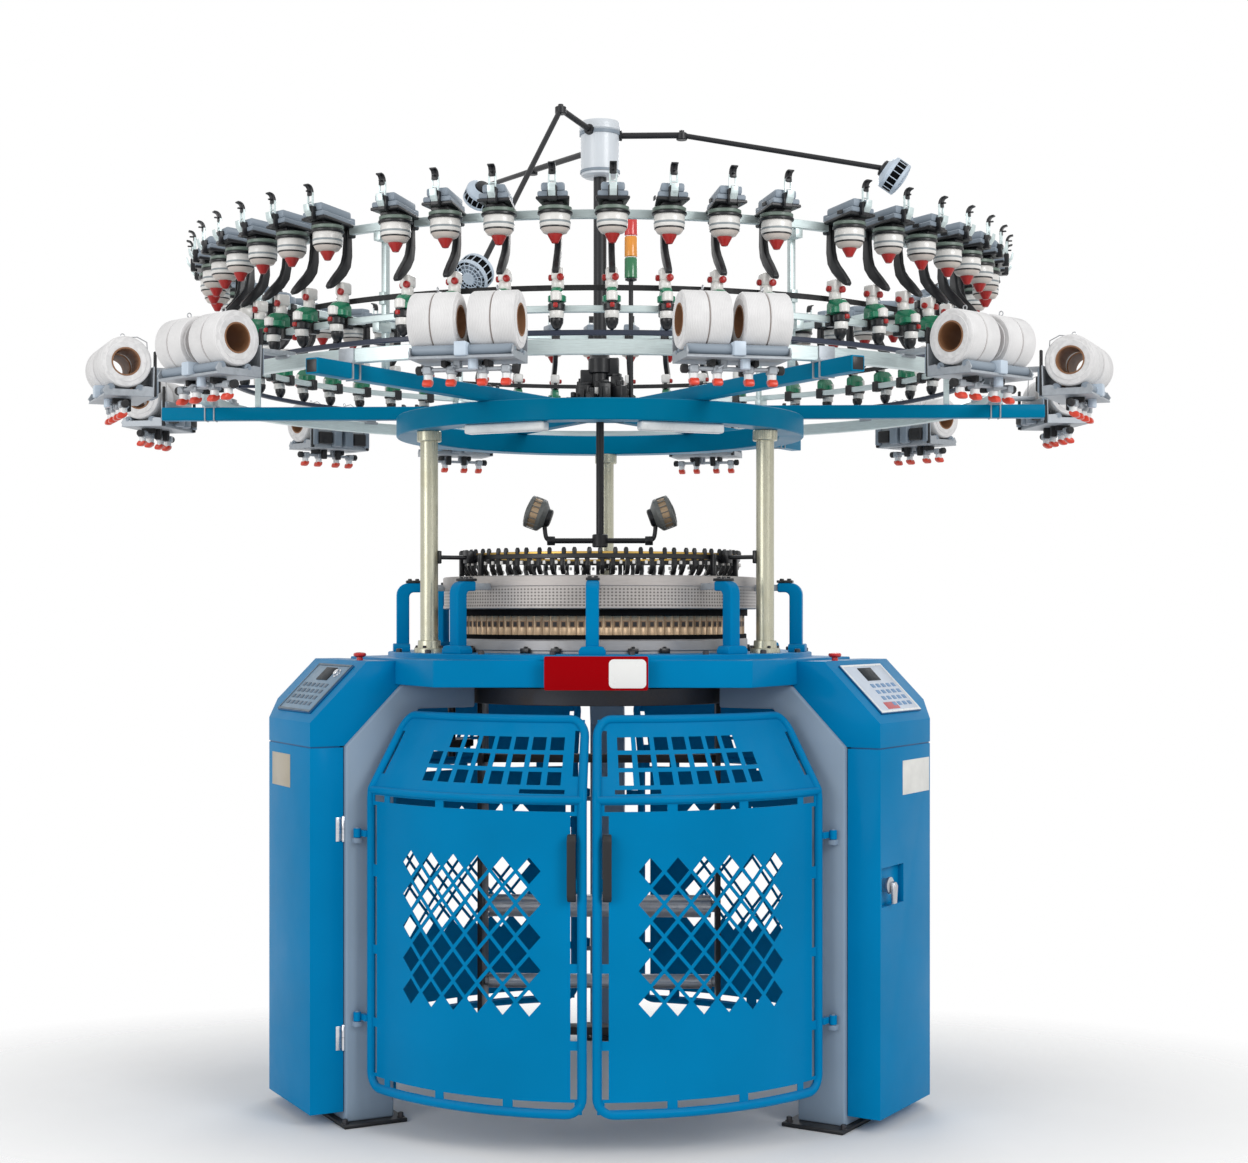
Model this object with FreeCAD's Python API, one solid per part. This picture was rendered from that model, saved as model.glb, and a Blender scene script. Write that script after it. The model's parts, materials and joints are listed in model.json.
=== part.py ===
import FreeCAD, Part
import math
import os

# Circular knitting machine, 30 inch needle cylinder, 48 yarn feeders.
# Millimetres, +Z up. The origin is on the floor under the cylinder's axis.
# Places are given as a radius and an angle from the front (-Y), positive to the right (+X).
# In a local frame +X is outwards, +Y is round the machine and +Z is up.

V = FreeCAD.Vector

# Angles of what repeats
LEG_ANGLES = (-60, 60, 180)
ARM_ANGLES = (-150, -90, -30, 30, 90, 150)
POST_COUNT = 9
FEEDER_PITCH = 7
FEEDERS_PER_SECTOR = 8
FEEDER_ANGLES = [60 * sector + FEEDER_PITCH * (i - (FEEDERS_PER_SECTOR - 1) / 2)
                 for sector in range(6) for i in range(FEEDERS_PER_SECTOR)]
ROLL_ANGLES = (-156, -135.5, -99.5, -64.5, -41, -10.3, 14.3, 43.3, 67, 99.5, 131.5, 166)

# Floor, legs and bed
FOOT_T = 12
LEG_IN, LEG_OUT, LEG_HALF = 700, 846, 58
LEG_ARM_IN, LEG_ARM_OUT, LEG_ARM_Z = 445, 620, 1180
BED_Z0, BED_Z1, BED_TOP = 1250, 1325, 1340
BED_LONG, BED_SHORT = 620, 690
BED_BORE, BED_PLATE_R = 402, 645
PLATE_LEFT, PLATE_RIGHT = -130, 154

# Side cabinets and their heads, in the left leg's frame
CAB_FRONT, CAB_OUT, CAB_SIDE, CAB_CORNER, CAB_BACK = 44, 948, -314, 896, -390
CAB_Z0, CAB_Z1 = 40, 1074
WALL_IN, WALL_SIDE, WALL_Z1 = 650, -62, 1036
SHELF_Z = 690
HEAD_Z0, HEAD_TOP, HEAD_IN, HEAD_SIDE = 1078, 1318, 652, -64
SLOPE = BED_Z0 - HEAD_Z0
SHEET = 4

# Gates
GATE_R, GATE_TOP_R, GATE_TUBE = 800, 670, 24
GATE_Z0, GATE_BEND, GATE_TOP = 110, 946, 1178
FRONT_SPAN = (-52.6, -0.5)
REAR_SPAN = (-172.6, -99)
PIN_OUT, PIN_SIDE, PIN_R = 818, 74, 5
HINGE_HEIGHTS = (300, 820)
HOLE_PITCH, ROW_PITCH, ROWS_Z = 75, 88, 592
WINDOW_STEP, WINDOW_PITCH, WINDOW_Z, WINDOW_HALF = 4.05, 45, 1012, 19
LATTICE_SHIFT, WINDOW_SHIFT = 1.45, 5.15

# Cam rings, cylinder and take-down unit
NEEDLE_R, NEEDLE_WALL, NEEDLE_TOP = 381, 16, 1492
CAM_IN = 388
GEAR_IN, GEAR_OUT, GEAR_Z0, GEAR_Z1 = 350, 425, 1190, 1240
PINION_R, SHAFT_R = 30, 12
SHAFT_X = -(GEAR_OUT + PINION_R + 0.5)
PULLEY_Z0, PULLEY_Z1 = 1046, 1070
TAKEDOWN_X, TAKEDOWN_Y, PLATE_T = 352, 110, 14
ROLLER_Z, CLOTH_Z = 560, 330
POST_R = 600

# Columns, top ring, arms and creel
COLUMN_R, COLUMN_PLACE = 26, 566
TOP_RING_IN, TOP_RING_OUT, TOP_RING_Z0, ARM_Z0 = 545, 620, 1987, 2048
ARM_SIDE, HUB_FLAT, ARM_REACH = 40, 110, 1350
CREEL_Z0 = ARM_Z0 + ARM_SIDE
CREEL_R, CREEL_H = 1200, 37
FEED_RING_R, FEED_RING_Z0, FEED_RING_Z1 = 1090, 2208, 2225
STORE_RING_R, STORE_RING_Z0, STORE_RING_Z1 = 1085, 2444, 2466
FEED_BELT_IN, FEED_BELT_OUT, FEED_BELT_Z0, FEED_BELT_Z1 = 1072, 1076, 2262, 2284
RING_SIDES = 24
RING_PARTS = 12
STORE_DRUM_R, STORE_DRUM_PLACE = 45, 1160
ROLL_PLACE, ROLL_Z, ROLL_R, ROLL_HALF, ROLL_GAP, ROLL_BORE = 1454, 2136, 70, 131, 28, 34
DRIVE_SPREAD = 39.5

# Fans above and below
POST_TUBE_R, BUCKET_Z0, BUCKET_Z1 = 20, 2788, 2956
LOWER_FAN_Z = 1677
TOP_FANS = (
    # angle, collar height, elbow (radius, height), head (radius, height)
    (90, 2916, (250, 2916), (857, 2815)),
    (-30, 2922, (220, 2950), (620, 2425)),
    (-150, 2880, (470, 2905), (850, 2930)),
)


# ---- small tools -------------------------------------------------------------------------

def polar(radius, angle, z=0.0):
    """A point at a radius and an angle from the front, positive to the right."""
    a = math.radians(angle)
    return V(radius * math.sin(a), -radius * math.cos(a), z)


def place(shape, angle, radius=0.0, z=0.0):
    """A copy of a shape from its local frame, set at a radius and an angle."""
    copy = shape.copy()
    copy.translate(V(radius, 0, z))
    copy.rotate(V(0, 0, 0), V(0, 0, 1), angle - 90)
    return copy


def mirrored(shape):
    """The right-hand twin of a left-hand piece."""
    return shape.mirror(V(0, 0, 0), V(1, 0, 0))


def box(x0, x1, y0, y1, z0, z1):
    return Part.makeBox(x1 - x0, y1 - y0, z1 - z0, V(x0, y0, z0))


def prism(points, z0, z1):
    """An upright prism over a closed outline of (x, y) points."""
    ring = [V(x, y, z0) for x, y in points]
    return Part.Face(Part.makePolygon(ring + ring[:1])).extrude(V(0, 0, z1 - z0))


def profile(points, half):
    """A prism over an outline of (x, z) points, from y = -half to y = half."""
    ring = [V(x, -half, z) for x, z in points]
    return Part.Face(Part.makePolygon(ring + ring[:1])).extrude(V(0, 2 * half, 0))


def circle_points(radius, sides, z=0.0, turn=0.5):
    step = 2 * math.pi / sides
    return [V(radius * math.cos(step * (i + turn)), radius * math.sin(step * (i + turn)), z)
            for i in range(sides)]


def skin(rings, closed_top=None):
    """A solid between stacked rings of equal point counts, with a tip if one is given."""
    faces = [Part.Face(Part.makePolygon(rings[0] + rings[0][:1]))]
    count = len(rings[0])
    for low, high in zip(rings, rings[1:]):
        for i in range(count):
            j = (i + 1) % count
            faces.append(Part.Face(Part.makePolygon([low[i], low[j], high[j], high[i], low[i]])))
    last = rings[-1]
    if closed_top is None:
        faces.append(Part.Face(Part.makePolygon(last + last[:1])))
    else:
        for i in range(count):
            j = (i + 1) % count
            faces.append(Part.Face(Part.makePolygon([last[i], last[j], closed_top, last[i]])))
    solid = Part.Solid(Part.Shell(faces))
    if solid.Volume < 0:
        solid.reverse()
    return solid


def turned(levels, sides, tip=None):
    """A few-sided turned piece: (radius, z) levels on the Z axis, and the z of a tip."""
    rings = [circle_points(r, sides, z) for r, z in levels]
    return skin(rings, None if tip is None else V(0, 0, tip))


def ring(r_in, r_out, z0, z1, sides=RING_SIDES):
    """A flat-sided ring with a rectangular section."""
    outer = turned([(r_out, z0), (r_out, z1)], sides)
    return outer.cut(turned([(r_in, z0 - 1), (r_in, z1 + 1)], sides))


def ring_parts(r_in, r_out, z0, z1):
    """A rail ring made of equal bent lengths that butt against each other."""
    sides = RING_SIDES // RING_PARTS
    step = 360 / RING_SIDES
    parts = []
    for k in range(RING_PARTS):
        angles = [step * (sides * k + i) for i in range(sides + 1)]
        outer = [polar(r_out, a) for a in angles]
        inner = [polar(r_in, a) for a in reversed(angles)]
        parts.append(prism([(p.x, p.y) for p in outer + inner], z0, z1))
    return parts


def rod(start, end, radius, sides=6):
    """A straight few-sided bar between two points."""
    axis = end - start
    bar = turned([(radius, 0), (radius, axis.Length)], sides)
    bar.Placement = FreeCAD.Placement(start, FreeCAD.Rotation(V(0, 0, 1), axis))
    return bar


def fused(shapes):
    return shapes[0].multiFuse(shapes[1:]).removeSplitter()


def write(name, *shapes):
    """Writes one node: its solids, side by side in one compound."""
    solids = [s for shape in shapes for s in shape.Solids]
    body = solids[0] if len(solids) == 1 else Part.makeCompound(solids)
    body.exportStep("parts/%s.step" % name)


# ---- legs, bed and cam rings -------------------------------------------------------------

def leg():
    """A leg in three castings: the upright, its shoulder and the arm under the bed."""
    upright = box(LEG_IN, LEG_OUT, -LEG_HALF, LEG_HALF, FOOT_T, HEAD_Z0)
    shoulder = profile([(LEG_IN, HEAD_Z0), (LEG_OUT, HEAD_Z0), (LEG_OUT - SLOPE, BED_Z0),
                        (LEG_ARM_OUT, BED_Z0), (LEG_ARM_OUT, LEG_ARM_Z)], LEG_HALF)
    arm = box(LEG_ARM_IN, LEG_ARM_OUT, -LEG_HALF, LEG_HALF, LEG_ARM_Z, BED_Z0)
    return [upright, shoulder, arm]


def hinge_pins(side):
    """Brackets with upright pins on one side of a leg, for a gate to hang on."""
    pieces = []
    for z in HINGE_HEIGHTS:
        plate = box(PIN_OUT - 12, PIN_OUT + 10, LEG_HALF, PIN_SIDE + 8, z - 16, z)
        pin = turned([(PIN_R, z), (PIN_R, z + 28)], 6)
        pin.translate(V(PIN_OUT, PIN_SIDE, 0))
        pieces += [plate, pin]
    return pieces if side > 0 else [p.mirror(V(0, 0, 0), V(0, 1, 0)) for p in pieces]


def hinge_knuckles():
    """Barrels with tabs, in the leg's frame, that turn on the pins."""
    pieces = []
    for z in HINGE_HEIGHTS:
        barrel = turned([(11, z + 0.3), (11, z + 26)], 6)
        barrel.translate(V(PIN_OUT, PIN_SIDE, 0))
        tab = box(PIN_OUT - 22, PIN_OUT - 4, PIN_SIDE + 6, PIN_SIDE + 36, z + 0.3, z + 26)
        hole = turned([(PIN_R * 1.18, z - 1), (PIN_R * 1.18, z + 40)], 6)
        hole.translate(V(PIN_OUT, PIN_SIDE, 0))
        pieces.append(barrel.fuse(tab).cut(hole))
    return pieces


def foot():
    return box(LEG_IN - 30, LEG_OUT + 15, -LEG_HALF - 45, LEG_HALF + 30, 0, FOOT_T)


def bed_outline():
    """Corners of the bed: three long sides and three short ones."""
    corners = []
    for k in range(3):
        for side in (-1, 1):
            # where a long side meets the short side next to it
            x = side * (BED_SHORT - BED_LONG * math.cos(math.pi / 3)) / math.sin(math.pi / 3)
            p = V(x, -BED_LONG, 0)
            p = FreeCAD.Rotation(V(0, 0, 1), 120 * k).multVec(p)
            corners.append((p.x, p.y))
    return corners


def bed():
    block = prism(bed_outline(), BED_Z0, BED_Z1)
    plate = turned([(BED_PLATE_R, BED_Z1), (BED_PLATE_R, BED_TOP)], RING_SIDES)
    bore = turned([(BED_BORE, BED_Z0 - 1), (BED_BORE, BED_TOP + 1)], RING_SIDES)
    return block.fuse(plate).cut(bore).removeSplitter()


def cam_rings():
    lower = ring(CAM_IN, 450, BED_TOP, 1385)
    boxes = ring(CAM_IN, 440, 1385, 1452)
    sinker = ring(430, 480, 1467, 1563)
    return lower, boxes, sinker


def cam_post(sinker):
    """A bracket that stands on the bed and holds the sinker ring."""
    hook = profile([(POST_R + 20, BED_TOP + 12), (POST_R + 20, 1534), (POST_R + 8, 1546),
                    (470, 1546), (470, 1518), (POST_R - 32, 1518), (POST_R - 18, 1504),
                    (POST_R - 18, BED_TOP + 12)], 18)
    base = box(POST_R - 26, POST_R + 34, -38, 38, BED_TOP, BED_TOP + 12)
    return hook.fuse(base)


def cam_posts(sinker):
    posts = [place(cam_post(sinker), 360 / POST_COUNT * k) for k in range(POST_COUNT)]
    return Part.makeCompound(posts).cut(sinker)


def nameplate():
    plate = box(PLATE_LEFT, PLATE_RIGHT, -658, -652, 1244, 1337)
    blocks = [box(x, x + 40, -652, -BED_LONG, 1262, 1312)
              for x in (PLATE_LEFT + 20, PLATE_RIGHT - 60)]
    return fused([plate] + blocks)


# ---- side cabinets -----------------------------------------------------------------------

DOOR_LINE = ((LEG_OUT + 2, CAB_FRONT), (CAB_OUT, CAB_FRONT), (CAB_OUT, CAB_SIDE),
             (CAB_CORNER, CAB_BACK))


def offset_line(points, distance):
    """The same open line, moved sideways to its right by a distance."""
    normals = []
    for (x0, y0), (x1, y1) in zip(points, points[1:]):
        length = math.hypot(x1 - x0, y1 - y0)
        normals.append(((y1 - y0) / length, -(x1 - x0) / length))
    moved = []
    for i, (x, y) in enumerate(points):
        a = normals[max(i - 1, 0)]
        b = normals[min(i, len(normals) - 1)]
        scale = distance / (1 + a[0] * b[0] + a[1] * b[1])
        moved.append((x + scale * (a[0] + b[0]), y + scale * (a[1] + b[1])))
    return moved


def cabinet_door():
    """A wrap-round sheet door along the cabinet's outer sides."""
    inner = offset_line(DOOR_LINE, SHEET)
    return prism(list(DOOR_LINE) + inner[::-1], CAB_Z0, CAB_Z1)


def cabinet_frame():
    """Welded sheets: floor, back, inner wall and shelf, open to the door."""
    _, front, outer, corner = offset_line(DOOR_LINE, SHEET + 3)
    rear = CAB_BACK + SHEET
    floor = [(LEG_OUT + 4, WALL_SIDE), (LEG_OUT + 4, front[1]), front, outer, (corner[0], rear),
             (LEG_IN, rear), (WALL_IN, WALL_SIDE)]
    base = prism(floor, CAB_Z0, CAB_Z0 + SHEET)
    shelf = prism(floor, SHELF_Z, SHELF_Z + SHEET)
    back = box(LEG_IN - SHEET, CAB_CORNER - 11, CAB_BACK, rear, CAB_Z0, CAB_Z1)
    wall = prism([(LEG_IN - SHEET, rear), (LEG_IN, rear), (WALL_IN, WALL_SIDE),
                  (WALL_IN - SHEET, WALL_SIDE)], CAB_Z0, WALL_Z1)
    side = box(WALL_IN - SHEET, LEG_OUT, WALL_SIDE, -LEG_HALF, CAB_Z0, WALL_Z1)
    plinth = box(720, 877, -330, -LEG_HALF - 50, 0, CAB_Z0)
    return [base, shelf, back, wall, side, plinth]


def head():
    """The casing over a leg and its cabinet: a band that bends over the leg's shoulder."""
    outline = [(HEAD_IN, HEAD_SIDE), (HEAD_IN, CAB_FRONT)] + list(DOOR_LINE[1:]) + [
        (LEG_IN, CAB_BACK)]
    block = prism(outline, HEAD_Z0, HEAD_TOP)
    arch = profile([(HEAD_IN - 10, HEAD_Z0 - 1), (LEG_OUT, HEAD_Z0 - 1), (LEG_OUT, HEAD_Z0),
                    (LEG_OUT - SLOPE, BED_Z0), (HEAD_IN - 10, BED_Z0)], -HEAD_SIDE)
    wedge = profile([(CAB_OUT - SLOPE, HEAD_TOP), (CAB_OUT, HEAD_TOP - SLOPE),
                     (CAB_OUT + 60, HEAD_TOP - SLOPE - 60), (CAB_OUT + 60, HEAD_TOP + 10),
                     (CAB_OUT - SLOPE, HEAD_TOP + 10)], 500)
    stem_hole = turned([(9.2, HEAD_TOP - 14), (9.2, HEAD_TOP + 1)], 8)
    stem_hole.translate(V(*STOP_PLACE, 0))
    casing = block.cut(arch).cut(wedge).cut(stem_hole)
    # the bed, turned back into the left leg's frame
    return casing.cut(place(bed(), 180 - LEG_ANGLES[0])).removeSplitter()


STOP_PLACE = (752, -78)


def stop_button():
    """A red mushroom head on a round stem."""
    stem = turned([(9, HEAD_TOP - 8), (9, HEAD_TOP + 10)], 8)
    cap = turned([(15, HEAD_TOP + 10), (19, HEAD_TOP + 14), (17, HEAD_TOP + 22)], 8)
    button = stem.fuse(cap)
    button.translate(V(*STOP_PLACE, 0))
    return button


def slope_panel():
    """A flat operating panel on the sloping face."""
    r0, z0 = CAB_OUT - SLOPE + 16, HEAD_TOP - 16
    r1, z1 = CAB_OUT - 22, HEAD_TOP - SLOPE + 22
    t = 4
    panel = profile([(r0, z0), (r1, z1), (r1 + t, z1 + t), (r0 + t, z0 + t)], 140)
    panel.translate(V(0, -153, 0))
    return panel


def door_latch():
    """A quarter-turn latch on the outer side of the right-hand door."""
    centre = V(CAB_OUT, LATCH_SIDE, LATCH_Z)
    disc = rod(centre + V(0.3, 0, 0), centre + V(8, 0, 0), 24, 8)
    lever = box(7, 25, -9, 9, -52, 12)
    lever.translate(centre)
    return disc.fuse(lever)


LATCH_SIDE, LATCH_Z = -14, 690


# ---- gates -------------------------------------------------------------------------------

def facet_angles(span, strips):
    a, b = span
    return [a + (b - a) * i / strips for i in range(strips + 1)]


def bent_sheet(span, strips, low, high, z0, z1):
    """A sheet bent round the machine in flat strips, between (inner, outer) radii at two heights."""
    angles = facet_angles(span, strips)
    rings = []
    for (r_in, r_out), z in ((low, z0), (high, z1)):
        outer = [polar(r_out, a, z) for a in angles]
        inner = [polar(r_in, a, z) for a in reversed(angles)]
        rings.append(outer + inner)
    count = len(rings[0])
    faces = []
    for i in range(count):
        j = (i + 1) % count
        faces.append(Part.Face(Part.makePolygon(
            [rings[0][i], rings[0][j], rings[1][j], rings[1][i], rings[0][i]])))
    for points in rings:
        faces.append(Part.Face(Part.makePolygon(points + points[:1])))
    solid = Part.Solid(Part.Shell(faces))
    if solid.Volume < 0:
        solid.reverse()
    return solid


def tube_frame(span, strips, low_r, high_r, z0, z1):
    """Square tube round a bent panel, left open in the middle."""
    half = GATE_TUBE / 2
    tube = bent_sheet(span, strips, (low_r - half, low_r + half), (high_r - half, high_r + half),
                      z0, z1)
    inset = math.degrees(GATE_TUBE / low_r)
    share = GATE_TUBE / (z1 - z0)
    r0 = low_r + (high_r - low_r) * share
    r1 = high_r + (low_r - high_r) * share
    window = bent_sheet((span[0] + inset, span[1] - inset), strips, (r0 - 40, r0 + 40),
                        (r1 - 40, r1 + 40), z0 + GATE_TUBE, z1 - GATE_TUBE)
    return tube.cut(window)


def diamond(radius, angle, z, half_w, half_h):
    """A cutter for one diamond hole, pushed through outwards."""
    corners = [V(0, half_w, 0), V(0, 0, half_h), V(0, -half_w, 0), V(0, 0, -half_h)]
    cutter = Part.Face(Part.makePolygon(corners + corners[:1])).extrude(V(80, 0, 0))
    return place(cutter, angle, radius - 40, z)


def square(radius, angle, z, half_w, half_h):
    return place(box(0, 80, -half_w, half_w, -half_h, half_h), angle, radius - 40, z)


def lower_holes(centre, columns, rows):
    """A lattice of diamonds: full rows and staggered rows between them."""
    step = math.degrees(HOLE_PITCH / GATE_R)
    cutters = []
    for stagger in (0, 1):
        for row in range(rows - stagger):
            for col in range(columns - stagger):
                angle = centre + step * (col - (columns - 1 - stagger) / 2)
                z = ROWS_Z + ROW_PITCH * (row - (rows - 1 - stagger) / 2)
                cutters.append(diamond(GATE_R, angle, z, HOLE_PITCH * 0.425, ROW_PITCH * 0.41))
    return cutters


def upper_holes(centre, columns, rows):
    """Rows of square windows, with the top row one short at the hinge side."""
    cutters = []
    for row in range(rows):
        z = WINDOW_Z + WINDOW_PITCH * row
        radius = GATE_R + (GATE_TOP_R - GATE_R) * (z - GATE_BEND) / (GATE_TOP - GATE_BEND)
        for col in range(row == rows - 1, columns):
            angle = centre + WINDOW_STEP * (col - (columns - 1) / 2)
            cutters.append(square(radius, angle, z, WINDOW_HALF, WINDOW_HALF - 2))
    return cutters


def gate(span, strips, leg_angle, columns, rows, upper_columns, upper_rows):
    """A gate leaf: tube frame, perforated lower sheet, leaning upper sheet and hinge knuckles."""
    low = tube_frame(span, strips, GATE_R, GATE_R, GATE_Z0, GATE_BEND + GATE_TUBE / 2)
    high = tube_frame(span, strips, GATE_R, GATE_TOP_R, GATE_BEND + GATE_TUBE / 2, GATE_TOP)
    centre = (span[0] + span[1]) / 2
    inset = math.degrees((GATE_TUBE - 4) / GATE_R)
    inner_span = (span[0] + inset, span[1] - inset)
    sheet = bent_sheet(inner_span, strips, (GATE_R - 2, GATE_R + 2), (GATE_R - 2, GATE_R + 2),
                       GATE_Z0 + GATE_TUBE - 4, GATE_BEND - GATE_TUBE / 2 + 4)
    sheet = sheet.cut(Part.makeCompound(lower_holes(centre + LATTICE_SHIFT, columns, rows)))
    z0, z1 = GATE_BEND + GATE_TUBE / 2 + GATE_TUBE - 4, GATE_TOP - GATE_TUBE + 4
    lean = (GATE_TOP_R - GATE_R) / (GATE_TOP - GATE_BEND - GATE_TUBE / 2)
    r0 = GATE_R + lean * (z0 - GATE_BEND - GATE_TUBE / 2)
    r1 = GATE_R + lean * (z1 - GATE_BEND - GATE_TUBE / 2)
    top = bent_sheet(inner_span, strips, (r0 - 2, r0 + 2), (r1 - 2, r1 + 2), z0, z1)
    windows = upper_holes(centre + WINDOW_SHIFT, upper_columns, upper_rows)
    top = top.cut(Part.makeCompound(windows))
    knuckles = [place(k, leg_angle) for k in hinge_knuckles()]
    return fused([low, high, sheet, top] + knuckles)


def gate_handle(side):
    """A pull handle near the free edge of a front leaf."""
    angle = side * 4.7
    grip = profile([(14, 760), (30, 772), (30, 862), (14, 874), (12.5, 874), (12.5, 760)], 9)
    return place(grip, angle, GATE_R * math.cos(math.radians(3)))


# ---- needle cylinder, drive and take-down --------------------------------------------------

def needle_cylinder():
    return ring(NEEDLE_R - NEEDLE_WALL, NEEDLE_R, GEAR_Z1, NEEDLE_TOP, 16)


def gear_ring():
    return ring(GEAR_IN, GEAR_OUT, GEAR_Z0, GEAR_Z1, 16)


def takedown_frame():
    """Two side plates under the gear ring, joined by a tie beam and a foot beam."""
    plates = [box(x, x + PLATE_T, -TAKEDOWN_Y, TAKEDOWN_Y, 170, GEAR_Z0)
              for x in (TAKEDOWN_X, -TAKEDOWN_X - PLATE_T)]
    beams = [box(-TAKEDOWN_X, TAKEDOWN_X, -30, 30, z, z + 24) for z in (170, 1000)]
    return plates + beams


def cross_roller(radius, z):
    half = TAKEDOWN_X - 0.5
    return rod(V(-half, 0, z), V(half, 0, z), radius, 12)


def main_shaft():
    """The upright drive shaft with its pinion above and its belt pulley below."""
    piece = turned([(SHAFT_R, PULLEY_Z0 - 30), (SHAFT_R, PULLEY_Z0), (60, PULLEY_Z0),
                    (60, PULLEY_Z1), (SHAFT_R, PULLEY_Z1), (SHAFT_R, GEAR_Z0),
                    (PINION_R, GEAR_Z0), (PINION_R, GEAR_Z1), (SHAFT_R, GEAR_Z1),
                    (SHAFT_R, BED_Z0 - 1)], 12)
    piece.translate(V(SHAFT_X, 0, 0))
    return piece


def local_left(r, s, z=0.0):
    """A point of the left leg's frame: outwards r, and s towards the front."""
    u = polar(1, -60)
    t = V(-u.y, u.x, 0)
    return V(u.x * r + t.x * s, u.y * r + t.y * s, z)


MOTOR_PLACE = (800, -230)


def motor():
    body = turned([(92, SHELF_Z + SHEET), (92, 960), (60, 985), (60, 1000)], 12)
    return place(shifted(body, MOTOR_PLACE), -60)


def shifted(shape, spot):
    shape.translate(V(spot[0], spot[1], 0))
    return shape


def motor_pulley():
    stub = turned([(10, 1001), (10, PULLEY_Z0)], 8)
    wheel = turned([(45, PULLEY_Z0), (45, PULLEY_Z1)], 16)
    return place(shifted(stub.fuse(wheel), MOTOR_PLACE), -60)


def belt_line(p, r_p, q, r_q, steps=8):
    """The closed line of an open belt round two pulleys, as (x, y) points."""
    base = math.atan2(q.y - p.y, q.x - p.x)
    lean = math.acos((r_p - r_q) / (q - p).Length)
    points = []
    for centre, radius, start, sweep in ((q, r_q, lean, -2 * lean),
                                         (p, r_p, -lean, -2 * (math.pi - lean))):
        for i in range(steps + 1):
            a = base + start + sweep * i / steps
            points.append((centre.x + radius * math.cos(a), centre.y + radius * math.sin(a)))
    return points


def drive_belt():
    p = V(SHAFT_X, 0, 0)
    q = local_left(*MOTOR_PLACE)
    outer = prism(belt_line(p, 67, q, 51), PULLEY_Z0 + 3, PULLEY_Z1 - 3)
    inner = prism(belt_line(p, 62.5, q, 46.5), PULLEY_Z0, PULLEY_Z1)
    return outer.cut(inner)


# ---- columns, top ring and creel -----------------------------------------------------------

def column():
    tube = turned([(COLUMN_R, BED_TOP), (COLUMN_R, TOP_RING_Z0)], 12)
    collars = [turned([(r, z0), (r, z1)], 10)
               for r, z0, z1 in ((36, TOP_RING_Z0 - 30, TOP_RING_Z0),)]
    return fused([tube] + collars)


def star_arms():
    arm = box(HUB_FLAT, ARM_REACH, -ARM_SIDE / 2, ARM_SIDE / 2, ARM_Z0, CREEL_Z0)
    hub = turned([(HUB_FLAT / math.cos(math.pi / 6), ARM_Z0),
                  (HUB_FLAT / math.cos(math.pi / 6), CREEL_Z0)], 6)
    return [place(arm, a) for a in ARM_ANGLES] + [place(hub, 90)]


def lamp_tubes():
    lamp = box(-18, 18, -130, 130, TOP_RING_Z0 - 28, TOP_RING_Z0)
    return [place(lamp, a, 578) for a in (-25, 25)]


def creel_rings():
    """The creel ring on the arms, the feeder rail above it and the storage rail on top."""
    rails = ring_parts(CREEL_R - 12, CREEL_R + 12, CREEL_Z0, CREEL_Z0 + CREEL_H)
    rails += ring_parts(FEED_RING_R - 8, FEED_RING_R + 8, FEED_RING_Z0, FEED_RING_Z1)
    rails += ring_parts(STORE_RING_R - 8, STORE_RING_R + 8, STORE_RING_Z0, STORE_RING_Z1)
    return rails


def stanchion():
    """An upright bar on an arm, with a ledge under each rail and one under the belt."""
    bar = box(1046, 1062, -8, 8, CREEL_Z0, STORE_RING_Z0)
    ledges = [box(1062, reach, -10, 10, z - 14, z)
              for reach, z in ((FEED_RING_R + 6, FEED_RING_Z0), (FEED_BELT_OUT + 2, FEED_BELT_Z0),
                               (STORE_RING_R + 6, STORE_RING_Z0))]
    return [bar] + ledges


def feed_belt():
    return ring_parts(FEED_BELT_IN, FEED_BELT_OUT, FEED_BELT_Z0, FEED_BELT_Z1)


# ---- yarn feeders --------------------------------------------------------------------------

def positive_bracket():
    """A feeder body that sits on the rail and reaches out over its wheel."""
    return box(1080, 1150, -13, 13, FEED_RING_Z1, 2300)


def positive_wheel():
    wheel = turned([(24, 2160), (24, FEED_RING_Z1)], 6)
    wheel.translate(V(1128, 0, 0))
    return wheel


def storage_housing():
    return box(1072, 1215, -28, 28, STORE_RING_Z1, STORE_RING_Z1 + 46)


def storage_drum():
    """A yarn drum with its cone tip, hung from the housing."""
    drum = turned([(STORE_DRUM_R, STORE_RING_Z1), (STORE_DRUM_R, 2396)], 6, 2360)
    drum.translate(V(STORE_DRUM_PLACE, 0, 0))
    return drum


def storage_guides():
    """The inlet post at the outer end and the bent outlet arm under the drum."""
    post = box(1215, 1227, -7, 7, STORE_RING_Z1 + 6, 2553)
    arm = profile([(1074, STORE_RING_Z0), (1090, STORE_RING_Z0), (1166, 2308)], 6)
    return [post, arm]


def around(pieces, angles):
    return [place(p, a) for a in angles for p in pieces]


# ---- elastane units ------------------------------------------------------------------------

def elastane_rolls():
    """Two wound cheeses side by side, with a narrow gap between them."""
    rolls = []
    for s in (-ROLL_HALF, ROLL_GAP / 2):
        length = ROLL_HALF - ROLL_GAP / 2
        roll = turned([(ROLL_R, 0), (ROLL_R, length)], 12).cut(
            turned([(ROLL_BORE, -1), (ROLL_BORE, length + 1)], 6))
        roll.rotate(V(0, 0, 0), V(1, 0, 0), -90)
        roll.translate(V(ROLL_PLACE, s, ROLL_Z))
        rolls.append(roll)
    return rolls


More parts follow.
